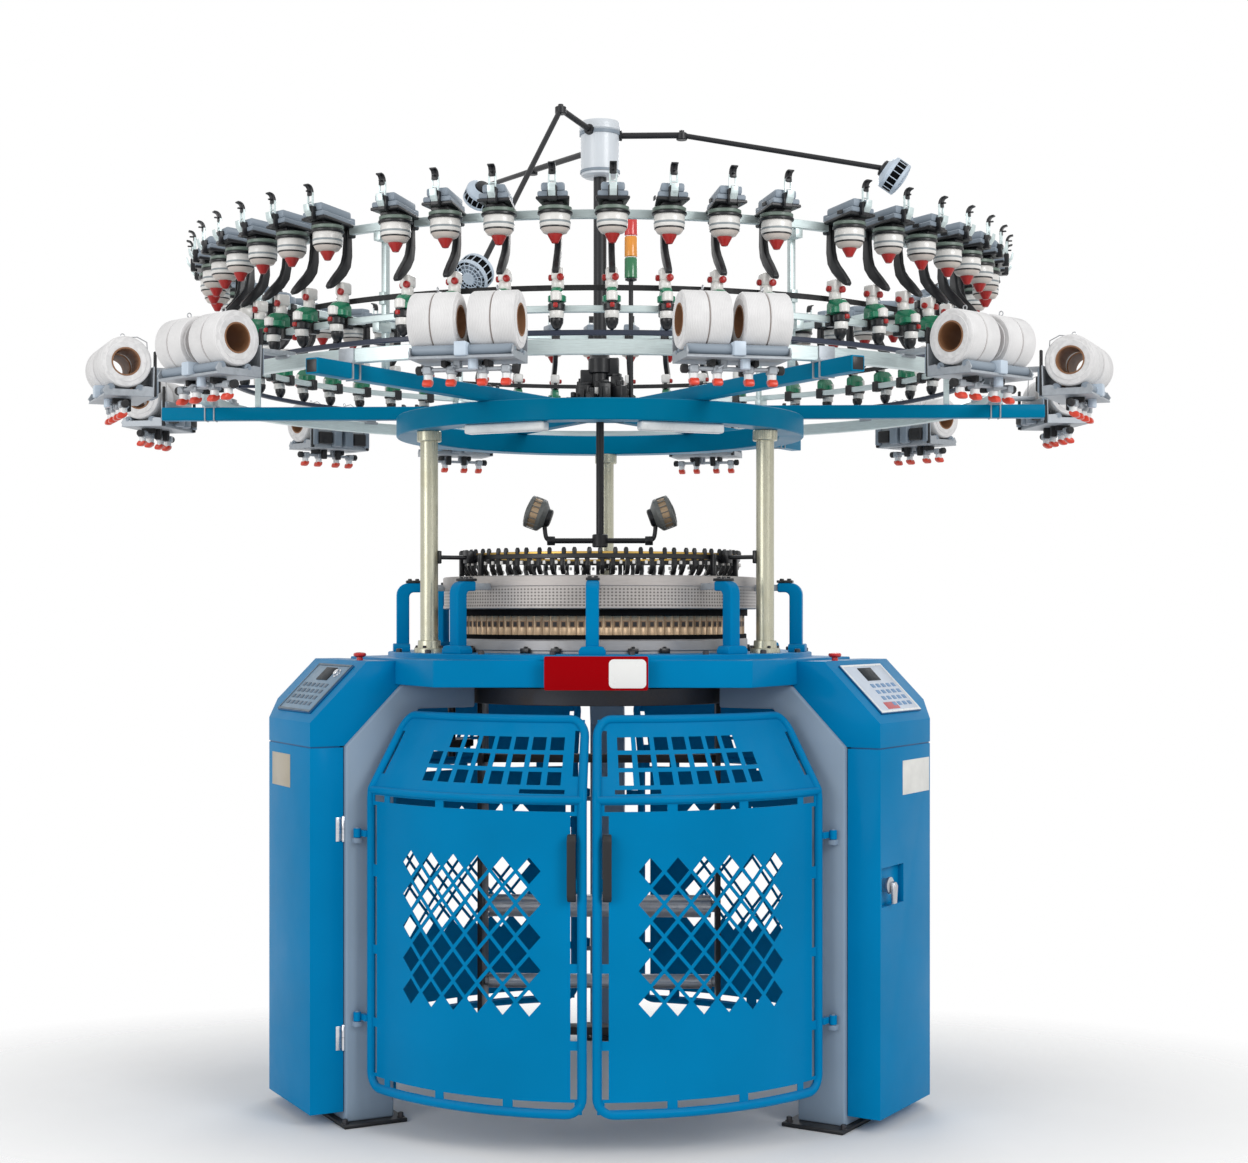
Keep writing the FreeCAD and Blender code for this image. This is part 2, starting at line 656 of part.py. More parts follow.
def roll_cradle():
    """A tray with two drive rollers, its bracket to the creel ring and its sensor bar."""
    r = ROLL_PLACE
    top = CREEL_Z0 + CREEL_H + 12
    # where the rolls' slanting facets meet the two drive rollers
    crest = ROLL_Z - (ROLL_R * math.cos(math.pi / 12) - DRIVE_SPREAD / 2) / math.sin(math.pi / 3)
    tray = profile([(r - 78, 2038), (r - 78, top), (r - 70, top), (r - 70, 2066),
                    (r - DRIVE_SPREAD, crest), (r, 2056), (r + DRIVE_SPREAD, crest),
                    (r + 72, 2066), (r + 72, 2038)], 112)
    bracket = box(CREEL_R - 14, r - 78, -20, 20, top - 12, top)
    bar = box(r - 14, r + 14, -112, 112, 2012, 2038)
    return [tray, bracket, bar]


def yarn_sensors():
    wedge = profile([(-12, 0), (16, 0), (20, -30)], 13)
    return [shifted_up(wedge, s) for s in (-95, -38, 38, 95)]


def shifted_up(shape, s):
    copy = shape.copy()
    copy.translate(V(ROLL_PLACE, s, 2012))
    return copy


# ---- fans and posts ------------------------------------------------------------------------

def yarn_guides():
    """The yarn guide ring, its three bars to the columns and its hanging guides."""
    hoop = ring_parts(414, 428, 1612, 1626)
    reach = COLUMN_PLACE - COLUMN_R * math.cos(math.pi / 12) - 0.05
    bars = [place(box(428, reach, -7, 7, 1613, 1625), a) for a in LEG_ANGLES]
    finger = profile([(402, 1566), (410, 1566), (410, 1624)], 4)
    fingers = [place(finger, 10 * k + 5) for k in range(36)]
    return hoop + bars + fingers


def centre_post():
    upper = turned([(POST_TUBE_R, CREEL_Z0), (POST_TUBE_R, BUCKET_Z0 - 0.5)], 12)
    lower = turned([(12, LOWER_FAN_Z + 20.5), (12, ARM_Z0)], 8)
    return [upper, lower]


def signal_tower():
    pole = turned([(7, CREEL_Z0), (7, 2470)], 6)
    lamps = turned([(20, 2470), (20, 2668), (15, 2675)], 8)
    tower = fused([pole, lamps])
    tower.translate(V(95, -20, 0))
    return tower


def bucket():
    return turned([(48, BUCKET_Z0), (58, BUCKET_Z0 + 14), (60, 2928), (64, 2932), (64, BUCKET_Z1)],
                  12)


def fan_axis(angle, drop):
    """The direction in which a fan blows: outwards and down by an angle."""
    d = polar(math.cos(math.radians(drop)), angle)
    return V(d.x, d.y, -math.sin(math.radians(drop)))


def fan_arms():
    """Three tube arms from the bucket, each with an elbow clamp and a motor at its end."""
    pieces = []
    for angle, z, (r1, z1), (r2, z2) in TOP_FANS:
        collar = polar(50, angle, z)
        elbow = polar(r1, angle, z1)
        end = polar(r2, angle, z2)
        axis = fan_axis(angle, 35)
        clamp = turned([(17, -16), (17, 16)], 8)
        clamp.translate(elbow)
        motor_can = rod(end, end + axis * 46, 27, 8)
        pieces.append(fused([rod(collar, elbow, 10), rod(elbow, end + axis * 4, 9), clamp,
                             motor_can]))
    return [p.cut(bucket()) for p in pieces]


def rotor(centre, axis, radius):
    """A six-sided hub with three blades on its flats, facing along its axis."""
    hub_r, hub_flat = 14, 14 * math.cos(math.pi / 6)
    pieces = [turned([(hub_r, 0), (hub_r, 14)], 6)]
    for k in range(3):
        blade = profile([(hub_flat, 4), (radius, 2), (radius, 5), (hub_flat, 10)], 16)
        blade.rotate(V(0, 0, 0), V(0, 0, 1), 120 * k + 60)
        pieces.append(blade)
    fan = Part.makeCompound(pieces)
    fan.Placement = FreeCAD.Placement(centre, FreeCAD.Rotation(V(0, 0, 1), axis))
    return fan


def top_rotor(index):
    angle, _, _, (r2, z2) = TOP_FANS[index]
    axis = fan_axis(angle, 35)
    return rotor(polar(r2, angle, z2) + axis * 47, axis, 62)


LOWER_HEAD = (172, 1752)


def lower_fan_arm():
    """A hub on the drop tube, a cross tube and two tilted fan motors."""
    hub = turned([(24, LOWER_FAN_Z - 20), (24, LOWER_FAN_Z + 20)], 8)
    tube = rod(V(-155, 0, LOWER_FAN_Z), V(155, 0, LOWER_FAN_Z), 9)
    pieces = [hub, tube]
    for side in (-1, 1):
        head_at = V(side * LOWER_HEAD[0], 0, LOWER_HEAD[1])
        axis = lower_axis(side)
        pieces.append(rod(V(side * 150, 0, LOWER_FAN_Z - 4), head_at, 7))
        pieces.append(rod(head_at - axis * 24, head_at + axis * 22, 30, 8))
    return fused(pieces)


def lower_axis(side):
    return V(side * math.cos(math.radians(20)), 0, math.sin(math.radians(20)))


def lower_rotor(side):
    axis = lower_axis(side)
    return rotor(V(side * LOWER_HEAD[0], 0, LOWER_HEAD[1]) + axis * 23, axis, 56)


# ---- the machine -----------------------------------------------------------------------------

def write_base():
    legs = [place(p, a) for a in LEG_ANGLES for p in leg()]
    legs += [place(p, a) for a, side in ((-60, 1), (60, -1), (180, 1), (180, -1))
             for p in hinge_pins(side)]
    write("foot_plates", *[place(foot(), a) for a in LEG_ANGLES])
    write("legs", *legs)
    write("bed", bed())
    write("nameplate", nameplate())
    frame = [place(p, -60) for p in cabinet_frame()]
    casing = place(head(), -60)
    write("cabinet_left_frame", *frame)
    write("cabinet_right_frame", *[mirrored(p) for p in frame])
    write("head_left", casing)
    write("head_right", mirrored(casing))
    for name, piece in (("cabinet_{}_door", cabinet_door()), ("panel_{}", slope_panel()),
                        ("stop_button_{}", stop_button())):
        left = place(piece, -60)
        write(name.format("left"), left)
        write(name.format("right"), mirrored(left))
    write("door_latch", mirrored(place(door_latch(), -60)))


def write_gates():
    front = gate(FRONT_SPAN, 3, -60, 6, 5, 8, 3)
    write("gate_left", front)
    write("gate_right", mirrored(front))
    rear = gate(REAR_SPAN, 4, -180, 3, 3, 4, 2)
    write("gate_rear_left", rear)
    write("gate_rear_right", mirrored(rear))
    write("gate_handle_left", gate_handle(-1))
    write("gate_handle_right", gate_handle(1))


def write_knitting_head():
    lower, boxes, sinker = cam_rings()
    write("lower_cam_ring", lower)
    write("cam_box_ring", boxes)
    write("sinker_ring", sinker)
    write("cam_ring_posts", cam_posts(sinker))
    write("needle_cylinder", needle_cylinder())
    write("gear_ring", gear_ring())
    write("takedown_frame", *takedown_frame())
    write("takedown_roller", cross_roller(34, ROLLER_Z))
    write("cloth_shaft", cross_roller(22, CLOTH_Z))
    write("main_shaft", main_shaft())
    write("motor", motor())
    write("motor_pulley", motor_pulley())
    write("drive_belt", drive_belt())
    write("yarn_guide_ring", *yarn_guides())


def write_top():
    write("columns", *[place(column(), a, COLUMN_PLACE) for a in LEG_ANGLES])
    write("top_ring", ring(TOP_RING_IN, TOP_RING_OUT, TOP_RING_Z0, ARM_Z0))
    write("star_arms", *star_arms())
    write("lamp_tubes", *lamp_tubes())
    write("creel_rings", *creel_rings())
    write("ring_stanchions", *around(stanchion(), ARM_ANGLES))
    write("feed_belt", *feed_belt())
    write("positive_feeder_bodies", *around([positive_bracket()], FEEDER_ANGLES))
    write("positive_feeder_wheels", *around([positive_wheel()], FEEDER_ANGLES))
    write("storage_feeder_housings", *around([storage_housing()], FEEDER_ANGLES))
    write("storage_feeder_drums", *around([storage_drum()], FEEDER_ANGLES))
    write("storage_feeder_guides", *around(storage_guides(), FEEDER_ANGLES))
    write("roll_cradles", *around(roll_cradle(), ROLL_ANGLES))
    write("elastane_rolls", *around(elastane_rolls(), ROLL_ANGLES))
    write("yarn_sensors", *around(yarn_sensors(), ROLL_ANGLES))
    write("centre_post", *centre_post())
    write("signal_tower", signal_tower())
    write("top_fan_bucket", bucket())
    write("top_fan_arms", *fan_arms())
    for i in range(len(TOP_FANS)):
        write("top_fan_rotor_%d" % (i + 1), top_rotor(i))
    write("lower_fan_arm", lower_fan_arm())
    write("lower_fan_rotor_left", lower_rotor(-1))
    write("lower_fan_rotor_right", lower_rotor(1))


os.makedirs("parts", exist_ok=True)
write_base()
write_gates()
write_knitting_head()
write_top()
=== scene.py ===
import json
from functools import partial
from math import cos, degrees, hypot, radians, sin

import bpy
from mathutils import Matrix, Vector

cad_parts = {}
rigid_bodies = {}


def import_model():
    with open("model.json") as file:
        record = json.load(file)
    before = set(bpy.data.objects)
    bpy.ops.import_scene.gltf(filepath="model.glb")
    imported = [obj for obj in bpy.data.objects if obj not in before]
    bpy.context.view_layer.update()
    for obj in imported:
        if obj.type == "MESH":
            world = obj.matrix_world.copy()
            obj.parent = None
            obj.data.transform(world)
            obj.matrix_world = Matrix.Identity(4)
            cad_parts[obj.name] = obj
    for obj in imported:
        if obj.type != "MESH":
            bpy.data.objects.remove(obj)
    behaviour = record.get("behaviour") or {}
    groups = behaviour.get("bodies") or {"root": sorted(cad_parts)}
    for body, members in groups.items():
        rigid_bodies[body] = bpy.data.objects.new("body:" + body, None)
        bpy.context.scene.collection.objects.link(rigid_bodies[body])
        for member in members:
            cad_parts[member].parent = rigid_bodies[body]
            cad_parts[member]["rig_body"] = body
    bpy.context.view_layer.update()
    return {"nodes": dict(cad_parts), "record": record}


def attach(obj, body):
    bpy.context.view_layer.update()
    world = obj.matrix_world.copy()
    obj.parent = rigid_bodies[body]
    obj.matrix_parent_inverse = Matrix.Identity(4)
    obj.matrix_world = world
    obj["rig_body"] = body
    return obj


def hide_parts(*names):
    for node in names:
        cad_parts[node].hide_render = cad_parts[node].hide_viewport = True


# A circular knitting machine. Lengths below are in millimetres, angles in degrees from the
# front (-Y), positive to the right (+X). A local piece has X outwards, Y round the machine, Z up.

MM = 0.001
LEG_ANGLES = (-60, 60, 180)
ARM_ANGLES = (-150, -90, -30, 30, 90, 150)
POST_ANGLES = range(0, 360, 40)
FEEDER_PITCH = 7
FEEDER_ANGLES = [60 * sector + FEEDER_PITCH * (i - 3.5) for sector in range(6) for i in range(8)]
ROLL_ANGLES = (-156, -135.5, -99.5, -64.5, -41, -10.3, 14.3, 43.3, 67, 99.5, 131.5, 166)
BED_TOP, COLUMN_R, STAR_LOW, STAR_HIGH = 1340, 566, 2048, 2088
HINGE_R, HINGE_S, HINGES_Z = 818, 74, (300, 820)

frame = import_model()


# ---- shop tools ----

def deselect_all():
    bpy.ops.object.select_all(action="DESELECT")


def pick(*objs):
    deselect_all()
    for obj in objs:
        obj.select_set(True)
    bpy.context.view_layer.objects.active = objs[0]


def edit(mode="FACE"):
    bpy.ops.object.mode_set(mode="EDIT")
    bpy.ops.mesh.select_mode(type=mode)
    bpy.ops.mesh.select_all(action="SELECT")


def leave():
    bpy.ops.object.mode_set(mode="OBJECT")


def polar(radius, angle, z=0.0):
    a = radians(angle)
    return Vector((radius * sin(a), -radius * cos(a), z))


def arc(x, z, radius, angles):
    """Points on a circle, at angles from +X towards +Z."""
    return [(x + radius * cos(radians(a)), z + radius * sin(radians(a))) for a in angles]


def one(parts):
    """One piece made from a piece or a list of pieces, as most tools below take them."""
    if not isinstance(parts, list):
        return parts
    if len(parts) > 1:
        pick(*parts)
        bpy.ops.object.join()
        return bpy.context.object
    return parts[0]


def modify(obj, kind, **settings):
    """Adds a modifier with its settings and applies it."""
    pick(obj)
    bpy.ops.object.modifier_add(type=kind)
    tool = obj.modifiers[-1]
    for key, value in settings.items():
        setattr(tool, key, value)
    bpy.ops.object.modifier_apply(modifier=tool.name)


def cut_out(obj, tools):
    """Takes the shape of one or more tool pieces out of a piece."""
    tool = one(tools)
    modify(obj, "BOOLEAN", object=tool, operation="DIFFERENCE", solver="EXACT")
    bpy.data.objects.remove(tool)
    return obj


def smooth(obj, angle=38):
    pick(obj)
    bpy.ops.object.shade_smooth_by_angle(angle=radians(angle))
    return obj


def soften(obj, width, segments=2, angle=28):
    """Rounds every edge sharper than an angle."""
    if not width:
        return obj
    modify(obj, "BEVEL", width=width * MM, segments=segments, limit_method="ANGLE",
           angle_limit=radians(angle), use_clamp_overlap=True)
    return smooth(obj)


def settle(obj):
    """Merges doubles and turns the faces outwards."""
    pick(obj)
    edit("VERT")
    bpy.ops.mesh.remove_doubles(threshold=0.00003)
    bpy.ops.mesh.normals_make_consistent(inside=False)
    leave()
    return obj


def turn(parts, angle, axis="Z"):
    """Turns a piece's mesh about an axis through the origin."""
    obj = one(parts)
    obj.data.transform(Matrix.Rotation(radians(angle), 4, axis))
    return obj


def shift(parts, x=0, y=0, z=0):
    obj = one(parts)
    obj.data.transform(Matrix.Translation(Vector((x, y, z)) * MM))
    return obj


def flip(obj, x=1, y=0):
    """Mirrors a piece's mesh in x, or in y."""
    obj.data.transform(Matrix.Scale(-1, 4, (x, y, 0)))
    obj.data.flip_normals()
    return obj


def aim(obj, start, direction):
    """Moves a piece made along Z so that it starts at a point and runs in a direction."""
    swing = Vector(direction).to_track_quat("Z", "Y").to_matrix().to_4x4()
    obj.data.transform(Matrix.Translation(Vector(start) * MM) @ swing)
    return obj


def twin(obj):
    copy = obj.copy()
    copy.data = obj.data.copy()
    bpy.context.scene.collection.objects.link(copy)
    return copy


def place(parts, angle, radius=0, z=0):
    """Sets a local piece at an angle from the front."""
    return turn(shift(parts, radius, 0, z), angle - 90)


def around(parts, angles):
    """Copies of a local piece round the machine, joined as one."""
    obj = one(parts)
    copies = [place(twin(obj), angle) for angle in angles]
    bpy.data.objects.remove(obj)
    return one(copies)


def lathe(levels, sides, fill, mode):
    """A circle about Z, extruded through (radius, height) levels."""
    r, z = levels[0]
    deselect_all()
    bpy.ops.mesh.primitive_circle_add(vertices=sides, radius=r * MM, fill_type=fill,
                                      location=(0, 0, z * MM))
    bpy.ops.object.transform_apply(location=True)
    obj = bpy.context.object
    edit(mode)
    for r1, z1 in levels[1:]:
        bpy.ops.mesh.extrude_region_move(TRANSFORM_OT_translate={"value": (0, 0, (z1 - z) * MM)})
        bpy.ops.transform.resize(value=(r1 / r, r1 / r, 1), center_override=(0, 0, z1 * MM))
        r, z = r1, z1
    leave()
    return smooth(settle(obj))


def turned(levels, sides=24, x=0, y=0):
    """A piece turned about an upright axis at x, y, closed at both ends."""
    return shift(lathe(levels, sides, "NGON", "FACE"), x, y)


def hoop(section, sides=144):
    """A ring turned about Z from a closed section of (radius, height) corners."""
    return lathe([*section, section[0]], sides, "NOTHING", "EDGE")


def band(r0, r1, z0, z1, sides=144):
    return hoop([(r0, z0), (r1, z0), (r1, z1), (r0, z1)], sides)


def rim(r0, r1, z0, z1, edge=2):
    """A flat ring with its corners eased."""
    return hoop([(r0 + edge, z0), (r1 - edge, z0), (r1, z0 + edge), (r1, z1 - edge),
                 (r1 - edge, z1), (r0 + edge, z1), (r0, z1 - edge), (r0, z0 + edge)])


def block(x, y, z, round_off=1.5, segments=2):
    """A block with rounded edges. A side is a (low, high) pair, or a number to both sides of 0."""
    deselect_all()
    spans = [side if isinstance(side, tuple) else (-side, side) for side in (x, y, z)]
    bpy.ops.mesh.primitive_cube_add(size=1, location=[(b + a) * MM / 2 for a, b in spans],
                                    scale=[(b - a) * MM for a, b in spans])
    bpy.ops.object.transform_apply(location=True, scale=True)
    return soften(bpy.context.object, round_off, segments)


def cut_plate(points, thickness, round_off=1.0, segments=2):
    """A plate cut to a closed outline of 3-D points, thickened by a vector."""
    deselect_all()
    bpy.ops.mesh.primitive_circle_add(vertices=len(points), radius=MM, fill_type="NGON")
    obj = bpy.context.object
    for vertex, point in zip(obj.data.vertices, points):
        vertex.co = Vector(point) * MM
    edit()
    bpy.ops.mesh.extrude_region_move(
        TRANSFORM_OT_translate={"value": tuple(Vector(thickness) * MM)})
    leave()
    return soften(settle(obj), round_off, segments)


def side_plate(points, y0, y1, round_off=1.0, segments=2):
    """A plate with an outline of (x, z) points, between two y values."""
    return cut_plate([(x, y0, z) for x, z in points], (0, y1 - y0, 0), round_off, segments)


def tube(points, radius, closed=False, sides=3):
    """A round bar or tube along points."""
    deselect_all()
    bpy.ops.curve.primitive_nurbs_path_add(radius=1)
    obj = bpy.context.object
    obj.data.splines.clear()
    line = obj.data.splines.new("POLY")
    line.points.add(len(points) - 1)
    for spot, point in zip(line.points, points):
        spot.co = (*(Vector(point) * MM), 1)
    line.use_cyclic_u = closed
    obj.data.dimensions = "3D"
    obj.data.bevel_depth = radius * MM
    obj.data.bevel_resolution = sides
    obj.data.use_fill_caps = not closed
    bpy.ops.object.convert(target="MESH")
    return smooth(settle(bpy.context.object), 50)


def eased(points, steps=6):
    """A smooth line through the given points."""
    points = [Vector(p) for p in points]
    ends = [2 * points[0] - points[1]] + points + [2 * points[-1] - points[-2]]
    line = []
    for a, b, c, d in zip(ends, ends[1:], ends[2:], ends[3:]):
        for i in range(steps):
            t = i / steps
            line.append(0.5 * (2 * b + (c - a) * t + (2 * a - 5 * b + 4 * c - d) * t * t
                               + (3 * b - a - 3 * c + d) * t ** 3))
    return line + [points[-1]]


def eased_copy(node, width=3, segments=2, angle=28):
    """A CAD node's own shape, merged and with its edges rounded."""
    copy = twin(frame["nodes"][node])
    for key in list(copy.keys()):
        del copy[key]
    copy.parent = None
    copy.hide_render = False
    settle(copy)
    edit()
    bpy.ops.mesh.dissolve_limited(angle_limit=radians(1.5))
    leave()
    return soften(copy, width, segments, angle)


def fit(parts, name, material, slot, body="frame", nodes=()):
    """Names a finished piece, gives it its material, its body and the nodes it stands for."""
    obj = one(parts)
    obj.name = obj.data.name = name
    obj.data.materials.clear()
    obj.data.materials.append(material)
    for polygon in obj.data.polygons:
        polygon.material_index = 0
    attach(obj, body)
    if nodes:
        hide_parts(*nodes)


# ---- finishes ----

def srgb(r, g, b):
    """A colour as seen on screen, 0 to 255, in the linear values that Blender uses."""
    return tuple((v / 255 / 12.92) if v <= 10 else ((v / 255 + 0.055) / 1.055) ** 2.4
                 for v in (r, g, b)) + (1,)


class Board:
    """A node tree, with short ways to add and wire its nodes."""

    def __init__(self, tree):
        self.tree = tree

    def node(self, kind, *inputs, **settings):
        made = self.tree.nodes.new("ShaderNode" + kind)
        for key, value in settings.items():
            setattr(made, key, value)
        for index, value in enumerate(inputs):
            self.feed(made, index, value)
        return made

    def wire(self, source, target):
        self.tree.links.new(source, target)

    def feed(self, node, index, value):
        if isinstance(value, bpy.types.NodeSocket):
            self.wire(value, node.inputs[index])
        elif value is not None:
            node.inputs[index].default_value = value

    def where(self):
        return self.node("TexCoord").outputs["Object"]

    def axes(self, vector):
        return self.node("SeparateXYZ", vector).outputs

    def math(self, operation, a, b=None):
        return self.node("Math", a, b, operation=operation).outputs[0]

    def times(self, a, b):
        return self.math("MULTIPLY", a, b)

    def plus(self, a, b):
        return self.math("ADD", a, b)

    def remap(self, value, low, high, to_low, to_high):
        return self.node("MapRange", value, low, high, to_low, to_high, clamp=True).outputs[0]

    def noise(self, where, scale, detail=3.0, rough=0.55):
        node = self.node("TexNoise")
        for label, value in (("Vector", where), ("Scale", scale), ("Detail", detail),
                             ("Roughness", rough)):
            self.feed(node, label, value)
        return node.outputs[0]

    def mix(self, factor, a, b):
        node = self.node("Mix", factor, data_type="RGBA")
        self.feed(node, 6, a)
        self.feed(node, 7, b)
        return node.outputs[2]

    def scaled(self, colour, factor):
        node = self.node("VectorMath", colour, operation="SCALE")
        self.feed(node, "Scale", factor)
        return node.outputs[0]

    def bump(self, height, strength, distance):
        node = self.node("Bump", strength, distance)
        self.feed(node, "Height", height)
        return node.outputs[0]


def effect(name, inputs):
    """An effect group with named inputs, and a way to wire its three outputs."""
    tree = bpy.data.node_groups.new(name, "ShaderNodeTree")
    kinds = {4: "NodeSocketColor", 3: "NodeSocketVector"}
    for label, value in inputs:
        size = len(value) if isinstance(value, tuple) else 1
        socket = tree.interface.new_socket(name=label, in_out="INPUT",
                                           socket_type=kinds.get(size, "NodeSocketFloat"))
        socket.default_value = value
    for label, kind in (("Colour", "Color"), ("Roughness", "Float"), ("Normal", "Vector")):
        tree.interface.new_socket(name=label, in_out="OUTPUT", socket_type="NodeSocket" + kind)
    board = Board(tree)
    given = tree.nodes.new("NodeGroupInput").outputs
    out = tree.nodes.new("NodeGroupOutput").inputs

    def close(*results):
        for target, result in zip(out, results):
            board.wire(result, target)
        return tree
    return board, given, board.where(), close


GREY = (0.5, 0.5, 0.5, 1)


def dust_mask(board, given, low, high, patches):
    """How much dust lies on what faces up, in patches."""
    normal = board.node("NewGeometry").outputs["Normal"]
    lies = board.remap(board.axes(normal)[2], low, high, 0, 1)
    return board.times(board.times(lies, patches), given["Dust"])


def paint_effect():
    """Sprayed paint: orange peel, slow shade changes, small chips and dust on what faces up."""
    board, given, where, close = effect("sprayed_paint", [
        ("Colour", GREY), ("Gloss", 0.35), ("Dust", 0.3), ("Chips", 0.3),
        ("Undercoat", srgb(120, 130, 135))])
    shade = board.remap(board.noise(where, 2.4, 4), 0.3, 0.7, 0.92, 1.06)
    specks = board.remap(board.noise(where, 55, 5, 0.7), 0.715, 0.73, 0, 1)
    colour = board.mix(board.times(specks, given["Chips"]), board.scaled(given["Colour"], shade),
                       given["Undercoat"])
    patches = board.remap(board.noise(where, 11, 6, 0.65), 0.35, 0.75, 0.25, 1)
    dust = dust_mask(board, given, 0.35, 0.95, patches)
    smear = board.remap(board.noise(where, 7, 5), 0.3, 0.7, -0.05, 0.08)
    return close(board.mix(dust, colour, srgb(196, 198, 196)),
                 board.plus(board.plus(given["Gloss"], smear), board.times(dust, 0.4)),
                 board.bump(board.noise(where, 420, 2), 0.12, 0.0006))


def metal_effect():
    """Worked metal: drawn or turned scratches along one direction, and oil stains."""
    board, given, where, close = effect("worked_metal", [
        ("Colour", GREY), ("Gloss", 0.3), ("Grain", (1, 1, 30)), ("Stain", 0.2),
        ("Stain Colour", srgb(110, 90, 66))])
    along = board.node("VectorMath", where, given["Grain"], operation="MULTIPLY").outputs[0]
    lines = board.noise(along, 24, 6, 0.7)
    colour = board.scaled(given["Colour"], board.remap(lines, 0.3, 0.7, 0.86, 1.1))
    stains = board.times(board.remap(board.noise(where, 9, 6, 0.7), 0.5, 0.72, 0, 1),
                         given["Stain"])
    rough = board.plus(given["Gloss"], board.remap(lines, 0.3, 0.7, -0.07, 0.1))
    return close(board.mix(stains, colour, given["Stain Colour"]),
                 board.plus(rough, board.times(stains, 0.3)), board.bump(lines, 0.1, 0.0004))


def plastic_effect():
    """Moulded plastic: a fine spark-eroded grain, handling marks and a little dust."""
    board, given, where, close = effect("moulded_plastic", [
        ("Colour", GREY), ("Gloss", 0.35), ("Grain", 0.1), ("Dust", 0.2)])
    shade = board.remap(board.noise(where, 14, 4), 0.3, 0.7, 0.9, 1.08)
    patches = board.remap(board.noise(where, 40, 5, 0.7), 0.4, 0.7, 0.2, 1)
    dust = dust_mask(board, given, 0.3, 1, patches)
    marks = board.remap(board.noise(where, 60, 5, 0.7), 0.35, 0.7, -0.06, 0.1)
    return close(board.mix(dust, board.scaled(given["Colour"], shade), srgb(205, 205, 200)),
                 board.plus(given["Gloss"], marks),
                 board.bump(board.noise(where, 900, 2), given["Grain"], 0.0003))


def yarn_effect():
    """Yarn wound on a roll: fine turns and soft bands, by the angle round the machine."""
    board, given, where, close = effect("wound_yarn", [
        ("Colour", GREY), ("Gloss", 0.7), ("Turns", 2600.0)])
    x, y, _ = board.axes(where)
    wobble = board.times(board.noise(where, 60, 2), 0.004)
    angle = board.plus(board.math("ARCTAN2", x, y), wobble)
    lines = board.math("SINE", board.times(angle, given["Turns"]))
    fuzz = board.noise(where, 700, 3, 0.7)
    bands = board.remap(board.noise(where, 26, 3), 0.3, 0.7, 0.93, 1.03)
    shade = board.times(bands, board.remap(lines, -1, 1, 0.9, 1.02))
    return close(board.scaled(given["Colour"], shade),
                 board.plus(given["Gloss"], board.remap(fuzz, 0.3, 0.7, -0.05, 0.1)),
                 board.bump(board.plus(board.times(lines, 0.5), fuzz), 0.35, 0.0008))


def finish(group, name, colour, *values, metallic=0.0, coat=0.0, sheen=0.0, shine=0.5,
           tint=(1, 1, 1)):
    """A material with one effect group, its inputs in their order, in front of its shader."""
    material = bpy.data.materials.new(name)
    material.use_nodes = True
    board = Board(material.node_tree)
    shader = material.node_tree.nodes["Principled BSDF"]
    part = board.node("Group", node_tree=group)
    for socket, value in zip(part.inputs, (srgb(*colour), *values)):
        socket.default_value = value
    for source, target in zip(part.outputs, ("Base Color", "Roughness", "Normal")):
        board.wire(source, shader.inputs[target])
    for label, value in (("Metallic", metallic), ("Coat Weight", coat), ("Sheen Weight", sheen),
                         ("Coat Roughness", 0.12), ("Specular IOR Level", shine),
                         ("Specular Tint", (*tint, 1))):
        shader.inputs[label].default_value = value
    return material


# each finish: its name, its colour as seen on screen, then its effect's values,
# for paint gloss, dust and chips
paint, metal, plastic, yarn = (partial(finish, make()) for make in (
    paint_effect, metal_effect, plastic_effect, yarn_effect))
SKY, RUBY = (0.15, 0.6, 1.0), (1.0, 0.25, 0.25)
BLUE = paint("machine_blue", (0, 126, 181), 0.36, 0.05, 0.2, coat=0.03, shine=0.06, tint=SKY)
TEAL = paint("star_blue", (0, 124, 164), 0.36, 0.1, 0.2, coat=0.03, shine=0.06, tint=SKY)
PLATE = paint("plate_enamel", (154, 0, 8), 0.3, 0.02, 0.02, coat=0.03, shine=0.08, tint=RUBY)
LEG_GREY = paint("leg_grey", (140, 158, 176), 0.4, 0.08, 0.2, shine=0.2)
BLACK = paint("satin_black", (22, 23, 27), 0.4, 0.1, 0.15, shine=0.4)
PALE_PLATE = paint("plate_white", (236, 236, 234), 0.25, 0.05, 0.05, coat=0.5)
MOTOR = paint("motor_grey", (104, 112, 122), 0.45, 0.3, 0.4)
PANEL_BLUE = paint("panel_blue", (0, 84, 132), 0.4, 0.1, shine=0.3)
HAMMER = paint("housing_grey", (138, 150, 162), 0.42, 0.15, 0.2, shine=0.4)
BUCKET = paint("bucket_white", (222, 228, 234), 0.32, 0.15, 0.1, coat=0.3)
# for plastic gloss, grain and dust
FILM = plastic("panel_film", (112, 142, 166), 0.4, 0.05, 0.05)
PALE_FILM = plastic("panel_film_pale", (204, 214, 228), 0.4, 0.05, 0.05)
PANEL_RIM = plastic("panel_rim", (56, 84, 104), 0.4, 0.1, 0.1)
KEY_DARK = plastic("key_dark", (74, 96, 116), 0.45, 0.1, 0.05)
KEY_BLUE = plastic("key_blue", (112, 150, 190), 0.45, 0.1, 0.05)
KEY_RED = plastic("key_red", (196, 96, 100), 0.45, 0.05, 0.05)
BARE_WHITE = plastic("bare_white", (226, 226, 222), 0.35, 0.05, 0.1)
SCREEN = plastic("screen_glass", (24, 32, 40), 0.45, 0.02, 0.02, shine=0.15)
# painted shade: a near-black with almost no gloss, set in the joints of the cam rings and between
# the top fan heads' shells
GAP_SHADE = plastic("gap_black", (10, 11, 13), 0.7, 0.02, 0.02, shine=0.05)
GUARD = plastic("guard_grey", (112, 114, 112), 0.35, 0.1, 0.1)
RED = plastic("signal_red", (200, 30, 28), 0.3, 0.1, 0.05, coat=0.3)
TIP_RED = plastic("tip_red", (166, 18, 12), 0.36, 0.1, 0.02, coat=0.1)
